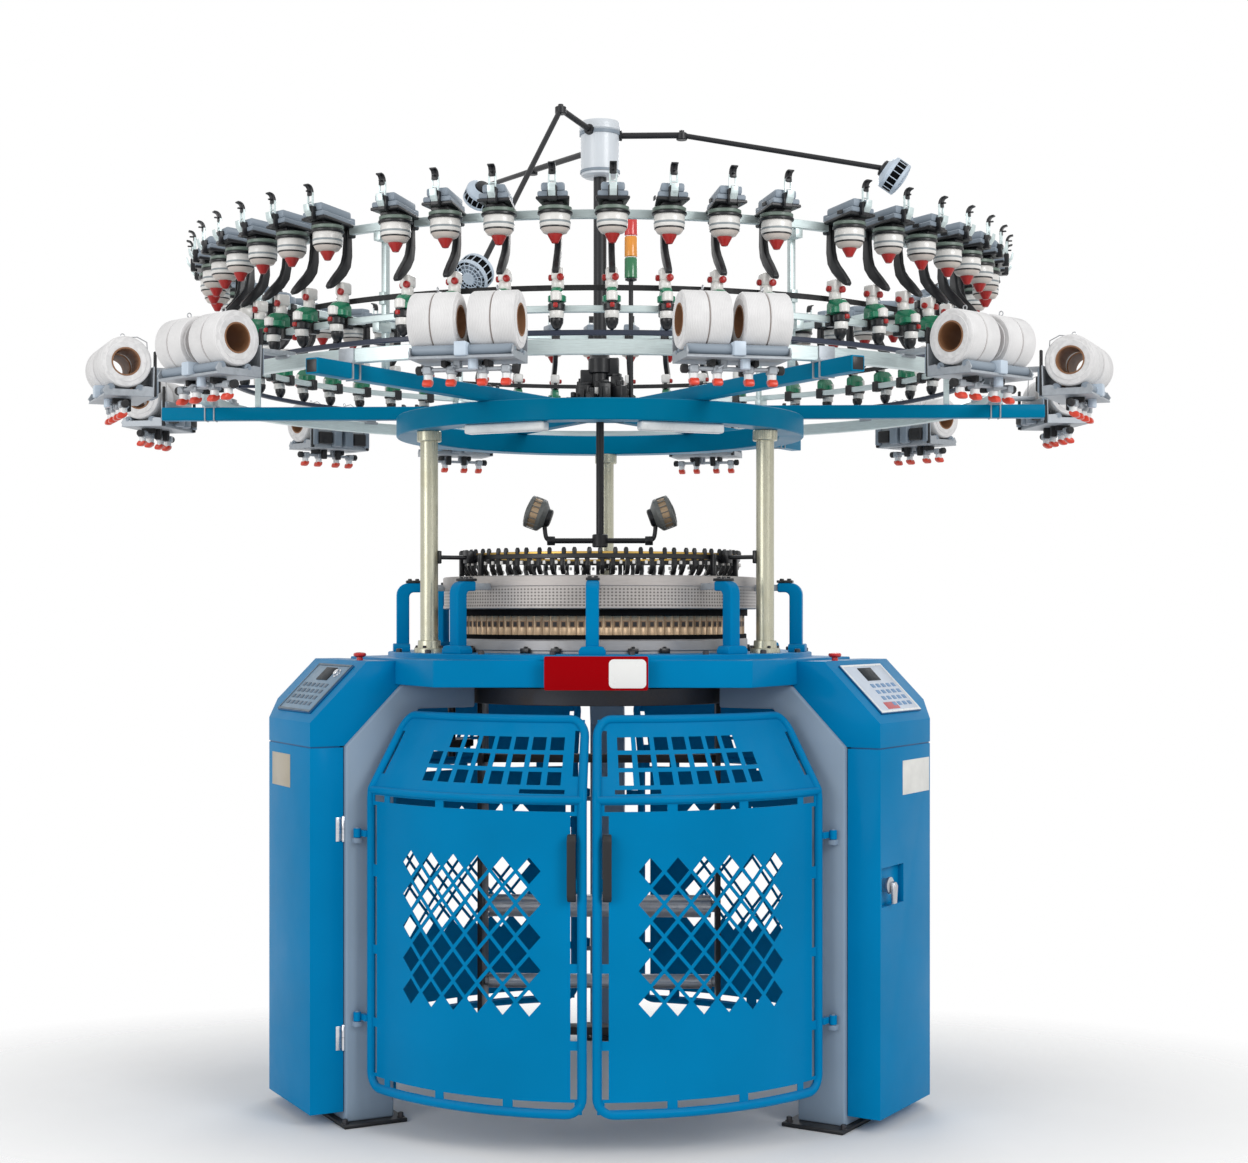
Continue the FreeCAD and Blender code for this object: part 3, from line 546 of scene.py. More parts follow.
PEACH = plastic("cone_peach", (208, 198, 190), 0.35, 0.1, 0.02)
ORANGE = plastic("sensor_orange", (222, 64, 38), 0.34, 0.1, 0.03, coat=0.1)
# painted shade: a near-black standing in for the shadow inside the cam box windows
HOLE_SHADE = plastic("dark_hole", (22, 16, 14), 0.6, 0.1, 0.0)
OPAL = plastic("opal_tube", (238, 240, 240), 0.3, 0.1, 0.1, coat=0.4)
RUBBER = plastic("belt_rubber", (30, 30, 32), 0.7, 0.4, 0.2)
GREEN = plastic("feeder_green", (22, 128, 92), 0.3, 0.1, 0.1, coat=0.3)
WHITE = plastic("feeder_white", (232, 230, 226), 0.28, 0.1, 0.05, coat=0.3)
RIM_GREY = plastic("drum_rim_grey", (140, 148, 152), 0.4, 0.1, 0.05)
GUIDE = plastic("guide_black", (20, 21, 25), 0.34, 0.1, 0.06, coat=0.1, shine=0.4)
CORE = plastic("roll_core", (140, 98, 66), 0.6, 0.3, 0.05)
FAN = plastic("fan_grey", (196, 210, 224), 0.35, 0.1, 0.1)
DUCT = plastic("duct_blue_black", (34, 44, 66), 0.4, 0.1, 0.1)
DISC = plastic("disc_green_grey", (112, 128, 118), 0.35, 0.1, 0.1)
LAMP_RED = plastic("lamp_red", (214, 40, 34), 0.2, 0.1, 0.05, coat=0.6)
LAMP_AMBER = plastic("lamp_amber", (236, 150, 34), 0.2, 0.1, 0.05, coat=0.6)
LAMP_GREEN = plastic("lamp_green", (20, 120, 70), 0.2, 0.1, 0.05, coat=0.6)
# for metal gloss, grain direction, stain and sometimes the stain's colour
CHROME = metal("latch_chrome", (206, 208, 212), 0.18, (1, 1, 8), 0.05, metallic=1.0)
BARE_METAL = metal("bare_metal", (176, 168, 152), 0.35, (1, 30, 1), 0.15, metallic=0.6)
CAM_STEEL = metal("cam_steel", (162, 160, 160), 0.4, (1, 1, 40), 0.25, metallic=0.55)
CAM_TAN = metal("cam_bronze", (196, 168, 136), 0.42, (1, 1, 30), 0.3, metallic=0.5)
CAM_BROWN = metal("cam_brown", (128, 100, 76), 0.5, (1, 1, 30), 0.2, metallic=0.3)
SINKER = metal("sinker_cover", (178, 172, 168), 0.42, (1, 1, 30), 0.15, metallic=0.4)
NEEDLE = metal("ground_steel", (186, 188, 192), 0.3, (60, 60, 1), 0.2, metallic=0.9)
IRON = metal("oiled_iron", (70, 70, 74), 0.4, (6, 6, 6), 0.3, metallic=0.7)
ZINC = metal("zinc_bar", (190, 188, 168), 0.28, (30, 30, 1), 0.25, srgb(150, 140, 96),
             metallic=0.75)
ALU = metal("anodised_rail", (208, 222, 222), 0.35, (1, 1, 20), 0.1, metallic=0.45)
CAST = metal("cast_cradle", (166, 172, 178), 0.45, (4, 4, 4), 0.1, metallic=0.4)
BRASS = metal("guide_brass", (196, 160, 84), 0.3, (1, 1, 20), 0.2, metallic=0.9)
ROLL = yarn("wound_white", (232, 231, 231), sheen=0.25)
# painted shade: a darker yarn colour on the floor of each roll's middle groove
ROLL_GROOVE_SHADE = yarn("wound_seam", (150, 140, 136), sheen=0.25)


def pierce(material):
    """A fine grid of holes on the cover's middle band, in rows round the axis, painted in as dark
    dots: painted shade inside the holes.
    """
    board = Board(material.node_tree)
    colour = material.node_tree.nodes["Principled BSDF"].inputs["Base Color"]
    x, y, z = board.axes(board.where())
    offsets = []
    for way, holes in ((z, 108), (board.math("ARCTAN2", x, y), 43.0)):
        cell = board.math("FRACT", board.times(way, holes))
        offset = board.math("SUBTRACT", cell, 0.5)
        offsets.append(board.times(offset, offset))
    span = board.math("SQRT", board.plus(*offsets))
    belt = board.times(board.remap(z, 1.474, 1.475, 0, 1), board.remap(z, 1.530, 1.531, 1, 0))
    # painted shade: the holes are not cut, a dark dot is mixed into the colour where each one lies
    hole = board.times(board.remap(span, 0.24, 0.34, 1, 0), belt)
    base = colour.links[0].from_socket
    board.wire(board.mix(board.times(hole, 0.75), base, srgb(60, 56, 54)), colour)


pierce(SINKER)

# what every CAD node is finished with where it stays as it is
NODE_FINISH = {
    "blue_paint": BLUE, "leg_paint": LEG_GREY, "black_steel": BLACK, "panel_grey": FILM,
    "red_plastic": RED, "latch_metal": CHROME, "plate_red": PLATE, "cam_steel": CAM_STEEL,
    "cam_tan": CAM_TAN, "sinker_steel": CAM_STEEL, "needle_steel": NEEDLE, "gear_iron": IRON,
    "zinc": ZINC, "star_paint": TEAL, "lamp_white": OPAL, "rail_alu": ALU, "belt_rubber": RUBBER,
    "feeder_green": GREEN, "feeder_white": WHITE, "housing_grey": HAMMER, "guide_black": GUIDE,
    "cradle_grey": CAST, "roll_white": ROLL, "sensor_orange": ORANGE, "tower_plastic": LAMP_RED,
    "bucket_white": BUCKET, "fan_grey": FAN, "motor_paint": MOTOR,
}
NODE_SLOT = {part["node"]: part["material_slot"] for part in frame["record"]["subparts"]}
NODE_BODY = {node: obj["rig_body"] for node, obj in frame["nodes"].items()}
for node, obj in frame["nodes"].items():
    obj.data.materials.clear()
    obj.data.materials.append(NODE_FINISH[NODE_SLOT[node]])


def fit_node(parts, name, node, material=None):
    """Fits a piece that stands for one CAD node, with its slot's finish, and keeps its body."""
    fit(parts, name, material or NODE_FINISH[NODE_SLOT[node]], NODE_SLOT[node], NODE_BODY[node],
        (node,))


def fit_around(angles, *rows):
    """Fits pieces repeated round the machine, for a CAD node or with a finish and a slot; the slot
    is not used.
    """
    for parts, name, *rest in rows:
        (fit_node if len(rest) == 1 else fit)(around(parts, angles), name, *rest)


# ---- legs and bed ----

def hinge_brackets(side):
    parts = []
    for z in HINGES_Z:
        parts += [block((806, 828), (57, 82), (z - 16, z - 1), 2),
                  turned([(5, z - 1), (5, z + 27), (4, z + 28)], 16, HINGE_R, HINGE_S)]
    return one(parts) if side > 0 else flip(one(parts), 0, 1)


def rounded_box(x0, x1, z0, z1, radius, steps=6):
    """The line of a rectangle with round corners, as (x, z) points."""
    centres = ((x1 - radius, z1 - radius), (x0 + radius, z1 - radius),
               (x0 + radius, z0 + radius), (x1 - radius, z0 + radius))
    return [point for i, (x, z) in enumerate(centres)
            for point in arc(x, z, radius, [90 * i + 90 * k / steps for k in range(steps + 1)])]


def build_base():
    """The legs, each one casting bent over its shoulder, the bed and the bare nameplate."""
    leg = side_plate([(700, 12), (846, 12), (846, 1078), (674, 1250), (445, 1250), (445, 1180),
                      (620, 1180), (700, 1078)], -58, 58, 6, 3)
    brackets = [place(hinge_brackets(side), a)
                for a, side in ((-60, 1), (60, -1), (180, 1), (180, -1))]
    fit_node([around(leg, LEG_ANGLES), *brackets], "leg_castings", "legs")
    bolts = [turned([(11, 12), (11, 15), (8, 15), (8, 24), (6, 26)], 6, x, y)
             for x in (684, 853) for y in (-80, 70)]
    fit_around(LEG_ANGLES, (bolts, "foot_bolts", IRON, "gear_iron"))
    fit_node(eased_copy("foot_plates"), "foot_pads", "foot_plates")
    fit_node(eased_copy("bed", 4, 3, 20), "bed_casting", "bed")
    bolt = turned([(9, BED_TOP), (9, 1349), (6, 1351)], 8, 626)
    fit_around(range(10, 370, 20), (bolt, "bed_bolts", IRON, "gear_iron"))
    plate = side_plate(rounded_box(-130, 154, 1244, 1337, 5), -657, -652, 0.8)
    blocks = [block((x, x + 40), (-652, -621), (1262, 1312), 1) for x in (-110, 94)]
    fit_node([plate, *blocks], "front_plate", "nameplate")
    fit(side_plate(rounded_box(47, 149, 1250, 1329, 13), -657, -658, 0.4), "front_plate_field",
        PALE_PLATE, "plate_red")


# ---- front and rear gates ----

GATE_R, GATE_TOP_R, GATE_LOW, GATE_BEND, GATE_HIGH = 800, 670, 122, 958, 1166
GATE_CUT = 26
HOLE_PITCH, ROW_PITCH, ROWS, ROWS_Z = 75, 88, 5, 592
WINDOW_PITCH, WINDOW_ROWS, WINDOW_COLUMNS, WINDOW_Z = 45, 3, 8, 1012
SIDE_RUNS = ((0.05, 0.205), (0.235, 0.45), (0.48, 0.71), (0.75, 0.95))
END_RUNS = ((0.03, 0.1), (0.135, 0.39), (0.43, 0.69), (0.73, 0.97))
TOP_RUNS = ((0.75, 0.93),)


def gate_radius(z):
    """The radius of a gate's middle at a height: upright below the bend, leaning in above."""
    return GATE_R + (GATE_TOP_R - GATE_R) * max(0, z - GATE_BEND) / (1178 - GATE_BEND)


def gate_tube(points, radius, closed, centre):
    """A tube along (way round, height) points."""
    return tube([polar(gate_radius(z), centre + degrees(u / GATE_R), z) for u, z in points],
                radius, closed, 4)


def gate_sheet(half, z0, z1, cutters, centre):
    """A flat sheet with its holes cut out, then bent round the machine and leaned in."""
    sheet = cut_out(block(half, 1.2, (z0, z1), 0), cutters)
    pick(sheet)
    cuts = int(2 * half / GATE_CUT)
    for i in range(1, cuts):
        edit()
        bpy.ops.mesh.bisect(plane_co=((-half + 2 * half * i / cuts) * MM, 0, 0),
                            plane_no=(1, 0, 0))
        leave()
    modify(sheet, "SIMPLE_DEFORM", deform_method="BEND", deform_axis="Z",
           angle=2 * half / GATE_R)
    shift(sheet, 0, -GATE_R)
    for vertex in sheet.data.vertices:
        vertex.co.xy *= gate_radius(vertex.co.z / MM) / GATE_R
    return smooth(turn(sheet, centre), 30)


def slots(reach_u, reach_z):
    """Cutters for slots: one for every pair of a span along and a span in height."""
    return [block(u, 20, z, 0) for u in reach_u for z in reach_z]


def shares(low, high, runs):
    return [(low + (high - low) * a, low + (high - low) * b) for a, b in runs]


def gate_leaf(span, columns, lattice_turn):
    centre = sum(span) / 2
    half = GATE_R * radians(span[1] - span[0]) / 2 - 12
    lattice, windows, step = (GATE_R * radians(a) for a in (lattice_turn, 5.15, 4.05))
    loop = rounded_box(-half, half, GATE_LOW, GATE_HIGH, 46, 7)
    dense = []
    for (u0, z0), (u1, z1) in zip(loop, loop[1:] + loop[:1]):
        steps = max(1, int(hypot(u1 - u0, z1 - z0) / GATE_CUT))
        dense += [(u0 + (u1 - u0) * i / steps, z0 + (z1 - z0) * i / steps) for i in range(steps)]
    steps = int(2 * half / GATE_CUT)
    across = [(-half + 2 * half * i / steps, GATE_BEND) for i in range(steps + 1)]
    tubes = [gate_tube(dense, 12, True, centre), gate_tube(across, 11, False, centre)]
    holes = []
    for less in (0, 1):
        for row in range(ROWS - less):
            for column in range(columns - less):
                u = lattice + HOLE_PITCH * (column - (columns - 1 - less) / 2)
                z = ROWS_Z + ROW_PITCH * (row - (ROWS - 1 - less) / 2)
                holes.append(side_plate([(u + 32, z), (u, z + 36), (u - 32, z), (u, z - 36)],
                                        -20, 20, 0))
    holes += slots([(half - 32, half - 14), (14 - half, 32 - half)],
                   shares(GATE_LOW, GATE_BEND, SIDE_RUNS))
    holes += slots(shares(-half, half, END_RUNS),
                   [(GATE_LOW + 14, GATE_LOW + 33), (GATE_BEND - 31, GATE_BEND - 13)])
    lower = gate_sheet(half - 1, GATE_LOW + 1, GATE_BEND - 1, holes, centre)
    squares = slots([(half - 30, half - 14)], [(GATE_BEND + 60, GATE_HIGH - 30)])
    squares += slots([(14 - half, 30 - half)], [(GATE_BEND + 45, GATE_HIGH - 45)])
    squares += slots(shares(-half, half, TOP_RUNS), [(GATE_BEND + 15, GATE_BEND + 26)])
    for row in range(WINDOW_ROWS):
        z = WINDOW_Z + WINDOW_PITCH * row
        reach = 19 * GATE_R / gate_radius(z)
        for column in range(row == WINDOW_ROWS - 1, WINDOW_COLUMNS):
            u = windows + step * (column - (WINDOW_COLUMNS - 1) / 2)
            squares += slots([(u - reach, u + reach)], [(z - 17, z + 17)])
    upper = gate_sheet(half - 1, GATE_BEND + 1, GATE_HIGH - 1, squares, centre)
    return [*tubes, lower, upper]


def knuckles(leg_angle):
    parts = []
    for z in HINGES_Z:
        parts += [turned([(10, z + 0.4), (11, z + 1.4), (11, z + 25), (10, z + 26)], 20, HINGE_R,
                         HINGE_S),
                  block((795, 810), (80, 112), (z + 4, z + 22))]
    return place(parts, leg_angle)


def build_gates():
    """The four gates, and the black bow handles near the free edges of the front ones."""
    for span, columns, lattice_turn, leg, name, node in (
            ((-52.6, -0.5), 6, 1.45, -60, "gate_leaf_", "gate_"),
            ((-172.6, -99), 8, -3.6, -180, "rear_gate_leaf_", "gate_rear_")):
        left = one([*gate_leaf(span, columns, lattice_turn), knuckles(leg)])
        fit_node(flip(twin(left)), name + "right", node + "right")
        fit_node(left, name + "left", node + "left")
    for hand, angle in (("left", -3.3), ("right", 3.3)):
        bow = side_plate([(13, 688), (22, 692), (31, 706), (31, 852), (22, 866), (13, 870),
                          (13, 850), (21, 838), (21, 720), (13, 708)], -12, 12, 3, 3)
        fit_node(place(bow, angle, GATE_R * cos(radians(3)) - 1), "gate_pull_" + hand,
                 "gate_handle_" + hand)


# ---- cabinets and operating panels ----

CAB_FRONT, CAB_OUT, CAB_SIDE = 44, 948, -314
SLOPE_TOP, SLOPE_DEEP = (792, -153, 1302), 189.5
POCKET_S, POCKET_Z = (-118, 34), (632, 742)


def in_cabinet(parts, side):
    """Turns a piece from the left leg's frame to its place on the machine's left or right."""
    piece = turn(parts, -150)
    return piece if side == "left" else flip(piece)


def panel_rim():
    """Four mitred bars round the panel's film."""
    outer, inner = ([(x, -y), (SLOPE_DEEP - x, -y), (SLOPE_DEEP - x, y), (x, y)]
                    for x, y in ((2, 138), (9, 131)))
    return [cut_plate([(*c, 5.4) for c in (outer[i - 1], outer[i], inner[i], inner[i - 1])],
                      (0, 0, 2.6), 0.4, 1) for i in (1, 2, 3, 0)]


def panel_keys(columns, last_columns):
    return [block((79 + 24 * row, 93 + 24 * row), (36 * column - 111, 36 * column - 89),
                  (6.2, 8), 1)
            for row in range(4) for column in range(last_columns if row == 3 else columns)]


def build_panel(side):
    """A panel, made with x down the slope, y along it and z off it, with no lettering."""
    left = side == "left"
    fit_node(eased_copy("panel_" + side, 1.5), "panel_plate_" + side, "panel_" + side,
             PANEL_BLUE)
    rows = [
        (block((9, SLOPE_DEEP - 9), 131, (5.4, 6.4), 0.4), "panel_film_" + side,
         FILM if left else PALE_FILM),
        (panel_rim(), "panel_rim_" + side, PANEL_RIM if left else OPAL),
        ([block((16, 66), (-44, 46), (6.2, 8.4), 1.2), block((22, 60), (-36, 38), (8.2, 8.8),
                                                            0.4)],
         "panel_display_" + side, SCREEN),
        (panel_keys(6, 6) if left else panel_keys(5, 4), "panel_keys_" + side,
         KEY_DARK if left else KEY_BLUE),
        (turned([(15, 6), (15, 9), (11, 10), (11, 15), (9, 17)], 24, 38, 84), "panel_knob",
         CHROME) if left else
        (block((150, 176), (-8, 76), (6.2, 7.2), 0.4), "panel_label_field", KEY_RED)]
    for parts, name, material in rows:
        fit(in_cabinet(shift(turn(parts, 45, "Y"), *SLOPE_TOP), side), name, material,
            "latch_metal" if material is CHROME else "panel_grey")


def door_skin(side):
    """The wrap-round door; the right one has a pocket for its latch."""
    door = eased_copy("cabinet_%s_door" % side, 1.5)
    if side == "left":
        return door
    cut_out(door, in_cabinet(block((CAB_OUT - 12, CAB_OUT + 8), POCKET_S, POCKET_Z, 0), side))
    (y0, y1), (z0, z1) = POCKET_S, POCKET_Z
    deep, wide, tall = (CAB_OUT - 17, CAB_OUT - 1), (y0 - 2, y1 + 2), (z0 - 2, z1 + 2)
    walls = [block(x, y, z, 0.4) for x, y, z in (
        (deep, (y0 - 2, y0 + 0.5), tall), (deep, (y1 - 0.5, y1 + 2), tall),
        (deep, wide, (z0 - 2, z0 + 0.5)), (deep, wide, (z1 - 0.5, z1 + 2)),
        ((CAB_OUT - 18, CAB_OUT - 16), wide, tall))]
    return one([door, in_cabinet(walls, side)])


def cabinet_sheets(side):
    """The cabinet's inner sheets; the right shelf is cut back round the latch pocket."""
    sheets = eased_copy("cabinet_%s_frame" % side, 1)
    if side == "left":
        return sheets
    notch = block((CAB_OUT - 22, CAB_OUT + 8), (-128, 50), (680, 700), 0)
    return cut_out(sheets, in_cabinet(notch, side))


def build_cabinets():
    for side in ("left", "right"):
        left = side == "left"
        door = "cabinet_%s_door" % side
        fit_node(eased_copy("head_" + side, 5, 3, 20), "head_casing_" + side, "head_" + side)
        fit_node(door_skin(side), "door_skin_" + side, door)
        fit_node(cabinet_sheets(side), "cabinet_sheets_" + side, "cabinet_%s_frame" % side)
        build_panel(side)
        button = turned([(9, 1310), (9, 1327), (14, 1328), (18, 1331), (19, 1335), (17, 1339),
                         (11, 1341), (3, 1341.5)], 28, 752, -78)
        fit_node(in_cabinet(button, side), "stop_head_" + side, "stop_button_" + side)
        across, high = ((-281, -124), (951, 1047)) if left else ((-305, -112), (936, 1034))
        plate = block((CAB_OUT - 1, CAB_OUT + 1.4), across, high, 0.8)
        fit(in_cabinet(plate, side), "bare_plate_" + side, BARE_METAL if left else BARE_WHITE,
            "latch_metal", NODE_BODY[door])
        seam = block((858, CAB_OUT - 2.5), (CAB_SIDE + 3, CAB_FRONT - 2.5), (1073, 1079), 0.5)
        fit(in_cabinet(seam, side), "head_seam_" + side, PANEL_BLUE, "panel_grey")
    # two lift-off hinges on the left door's front edge: pins on the leg, leaves on the door
    pins = [turned([(4.5, z - 36), (5.5, z - 35), (5.5, z + 1), (4.5, z + 1.5), (5.5, z + 2),
                    (5.5, z + 36), (4, z + 38)], 16, 849, 46) for z in (250, 842)]
    leaves = [block((855.5, 872), (44, 46.5), (z - 34, z + 34), 0.8) for z in (250, 842)]
    fit(in_cabinet(pins, "left"), "door_hinge_pins", CHROME, "latch_metal")
    fit(in_cabinet(leaves, "left"), "door_hinge_leaves", CHROME, "latch_metal",
        NODE_BODY["cabinet_left_door"])
    # a paddle latch on a boss in the right door's pocket
    hub = aim(turned([(20, -16), (20, -2), (24, 0), (24, 6), (21, 8), (14, 9)], 28),
              (CAB_OUT, -14, 690), (1, 0, 0))
    paddle = side_plate([(CAB_OUT + 7, 702), (CAB_OUT + 20, 700), (CAB_OUT + 25, 690),
                         (CAB_OUT + 22, 640), (CAB_OUT + 12, 638), (CAB_OUT + 10, 682)],
                        -23, -5, 2, 3)
    fit_node(in_cabinet([hub, paddle], "right"), "door_latch_turned", "door_latch", NEEDLE)


# ---- cam rings, cylinder and drive ----

WINDOWS = 108


def window_band():
    """The cam box band: a many-sided wall with a shallow field in each of its faces."""
    wall = hoop([(440, 1386), (440, 1451), (389, 1451), (389, 1386)], WINDOWS)
    for face in wall.data.polygons:
        face.select = abs(face.normal.z) < 0.2 and face.center.xy.length > 0.42
    pick(wall)
    bpy.ops.object.mode_set(mode="EDIT")
    bpy.ops.mesh.select_mode(type="FACE")
    bpy.ops.mesh.inset(thickness=0.0007, use_individual=True)
    bpy.ops.mesh.inset(thickness=0.0002, depth=-0.0008, use_individual=True)
    leave()
    return wall


def cam_post():
    """A round-shouldered bracket with a flared foot that holds the sinker cover."""
    hook = side_plate([(546, 1546), *arc(584, 1510, 36, range(90, -1, -15)), (620, 1345),
                       (582, 1345), *arc(568, 1504, 14, range(0, 91, 15)), (546, 1518)],
                      -18, 18, 5, 3)
    foot = cut_plate([(580, -37, 1340), (580, 37, 1340), (580, 37, 1352), (580, 30, 1362),
                      (580, 18, 1364), (580, -18, 1364), (580, -30, 1362), (580, -37, 1352)],
                     (50, 0, 0), 2)
    return [hook, foot]


def build_knitting_head():
    lower = hoop([(389, 1340), (446, 1340), (446, 1346), (450, 1349), (450, 1376), (446, 1381),
                  (440, 1381), (438, 1384), (389, 1384)])
    fit_node(lower, "cam_ring_lower", "lower_cam_ring")
    fit_node(window_band(), "cam_box_band", "cam_box_ring")
    middles = [360 / WINDOWS * (k + 0.5) for k in range(WINDOWS)]
    edges = [720 / WINDOWS * k for k in range(WINDOWS // 2)]
    # painted shade: the dark window blocks stand in for the shadow inside each window pocket
    fit_around(middles,
               (block((436, 440.2), 5.6, (1417, 1430), 0), "cam_box_windows", HOLE_SHADE,
                "guide_black"),
               (block((438, 439.9), 8, (1414.5, 1432.5), 0), "cam_box_window_lips", CAM_BROWN,
                "cam_tan"))
    fit_around(edges, (block((438, 440.6), 0.9, (1387, 1450), 0), "cam_box_seams", CAM_BROWN,
                       "cam_tan"))
    # painted shade: black bands in the joints above and below the cam box band, standing in for
    # the shadow in those gaps
    fit(band(424, 450, 1447, 1467), "ring_gap_shade_upper", GAP_SHADE, "guide_black")
    fit(band(424, 447, 1380, 1393), "ring_gap_shade_lower", GAP_SHADE, "guide_black")
    sinker = hoop([(431, 1467), (474, 1467), (478, 1470), (478, 1478), (476, 1480), (476, 1532),
                   (479, 1534), (479, 1560), (476, 1563), (431, 1563)])
    fit_node(sinker, "sinker_cover", "sinker_ring", SINKER)
    screws = [turned([(5.5, 1553), (5.5, 1558), (4, 1559)], 8, x, y)
              for x in (558, 580) for y in (-9, 9)]
    fit_around(POST_ANGLES,
               (cam_post(), "cam_posts", "cam_ring_posts"),
               (block((476, 552), 8, (1522, 1541), 2), "cam_post_arms", CAST, "gear_iron"),
               ([*screws, block((544, 592), 19, (1546, 1554), 2)], "cam_post_screws", GUIDE,
                "guide_black"))
    clamp = [block((448, 462), 14, (BED_TOP, 1355), 2),
             turned([(5, 1355), (5, 1359), (3.5, 1360)], 6, 455)]
    fit_around([a + b for a in POST_ANGLES for b in (-14, 14)],
               (clamp, "cam_ring_clamps", GUIDE, "guide_black"))
    fit_node(rim(365, 381, 1240, 1492, 1.5), "needle_bed", "needle_cylinder")
    needle = block((377, 380.5), 0.9, (1488, 1497), 0)
    fit(around(needle, range(0, 360, 2)), "needles", NEEDLE, "needle_steel", "cylinder")
    fit_node(rim(350, 425, 1190, 1240), "ring_gear", "gear_ring")
    fit_node(eased_copy("takedown_frame", 2), "takedown_plates", "takedown_frame")
    for ends, radius, z, sides, name, node in (
            (18, 34, 560, 32, "takedown_roll", "takedown_roller"),
            (16, 22, 330, 28, "cloth_roll_shaft", "cloth_shaft")):
        neck = 338 if radius == 34 else 340
        roller = turned([(ends, -351), (ends, -neck - 2), (radius, -neck), (radius, neck),
                         (ends, neck + 2), (ends, 351)], sides)
        fit_node(aim(roller, (0, 0, z), (1, 0, 0)), name, node)
    drive = turned([(12, 1016), (12, 1046), (58, 1046), (60, 1048), (60, 1068), (58, 1070),
                    (12, 1070), (12, 1190), (28, 1190), (30, 1192), (30, 1238), (28, 1240),
                    (12, 1240), (12, 1249)], 40, -455.5)
    fit_node(drive, "drive_shaft_turned", "main_shaft")
    x, y, _ = polar(800, -60) + polar(-230, 30)
    fit_node(turned([(10, 1001), (10, 1046), (43, 1046), (45, 1048), (45, 1068), (43, 1070),
                     (12, 1070)], 36, x, y), "motor_pulley_turned", "motor_pulley")
    fit_node(turned([(80, 698), (92, 706), (92, 720), (88, 724), (88, 930), (92, 934), (92, 958),
                     (86, 966), (62, 984), (60, 998), (40, 1000)], 40, x, y),
             "motor_housing", "motor")


# ---- columns, star and creel rings ----

def build_columns():
    bar = turned([(25, BED_TOP), (26, 1341), (26, 1986), (25, 1987)], 40, COLUMN_R)
    foot = turned([(44, 1340), (44, 1352), (42, 1354), (34, 1354), (33, 1374), (31, 1376),
                   (26.2, 1376)], 36, COLUMN_R)
    cap = turned([(26.2, 1956), (34, 1956), (36, 1958), (36, 1985), (34, 1987)], 36, COLUMN_R)
    bolts = [turn(turned([(5, 1354), (5, 1360), (3.5, 1361)], 8, 38), 90 * k + 45)
             for k in range(4)]
    fit_around(LEG_ANGLES, (bar, "column_bars", "columns"),
               ([foot, cap], "column_collars", ZINC, "zinc"),
               (shift(bolts, COLUMN_R), "column_bolts", IRON, "gear_iron"))


def build_star():
    fit_node(rim(545, 620, 1987, STAR_LOW, 3), "top_ring_rolled", "top_ring")
    arm = block((104, 1349), 20, (STAR_LOW, STAR_HIGH), 3, 3)
    hub = turned([(124, STAR_LOW), (127, 2051), (127, 2085), (124, STAR_HIGH)], 6)
    fit_node([around(arm, ARM_ANGLES), turn(hub, 30)], "star_arm_tubes", "star_arms")
    plug = block((1347, 1350), 16, (2052, 2084), 1)
    bolts = [turned([(6, 2088), (6, 2094), (4, 2095)], 6, x, y) for x in (562, 603)
             for y in (-11, 11)]
    clamps = [block((1178, 1222), 25, (2086, 2096), 2), block((1184, 1188), 24, (2046, 2126), 1),
              block((1212, 1216), 24, (2046, 2126), 1)]
    fit_around(ARM_ANGLES, (plug, "arm_plugs", GUIDE, "guide_black"),
               (clamps, "creel_clamps", CAST, "cradle_grey"),
               (bolts, "star_bolts", IRON, "gear_iron"))
    boxes = []
    for a in range(15, 360, 60):
        high = 2148 + a % 7 * 6
        boxes += [place([block((38, 70), 19, (2087, high), 4),
                         block((42, 66), 13, (high - 1, high + 9), 2),
                         block((70, 76), 9, (2096, high - 12), 2)], a),
                  place(block((64, 108), 13, (2087, high - 34), 4), a - 30),
                  turned([(5, high - 34), (8, high - 32), (8, high - 20), (6, high - 18)], 12,
                         *polar(84, a - 30).xy)]
    fit(boxes, "star_valve_boxes", GUIDE, "guide_black")
    fit_around((-25, 25), (block((560, 596), 128, (1960, 1987), 7, 4), "lamp_cases",
                           "lamp_tubes"))


def build_rails():
    fit_node([rim(1188, 1212, 2088, 2125), rim(1082, 1098, 2208, 2225, 1.5),
              rim(1077, 1093, 2444, 2466, 1.5)], "creel_and_feeder_rails", "creel_rings")
    fit_node(rim(1071, 1075.5, 2266, 2280, 0.6), "drive_tape", "feed_belt")
    upright = [block((1046, 1062), 8, (STAR_HIGH, 2446)), block((1044, 1096), 11, (2184, 2208), 2),
               block((1044, 1091), 11, (2420, 2444), 2), block((1060, 1071), 9, (2257, 2290))]
    fit_around(ARM_ANGLES, (upright, "rail_uprights", "ring_stanchions"))


# ---- yarn feeders ----

def bent_strip(line, widths, y, round_off=1.2):
    """A flat strip bent along an (x, z) line, with its width given at each point."""
    left, right = [], []
    for i, (x, z) in enumerate(line):
        ahead, behind = line[min(i + 1, len(line) - 1)], line[max(i - 1, 0)]
        run = Vector((ahead[0] - behind[0], ahead[1] - behind[1])).normalized()
        w = widths[i] / 2
        left.append((x - run.y * w, z + run.x * w))
        right.append((x + run.y * w, z - run.x * w))
    return side_plate(left + right[::-1], -y, y, round_off)


def tapered(x0, y0, z0, x1, y1, z1, high, round_off, segments=2):
    """A plate that widens and rises outwards."""
    return cut_plate([(x0, -y0, z0), (x1, -y1, z1), (x1, y1, z1), (x0, y0, z0)], (0, 0, high),
                     round_off, segments)


DRUM_AT = 1160


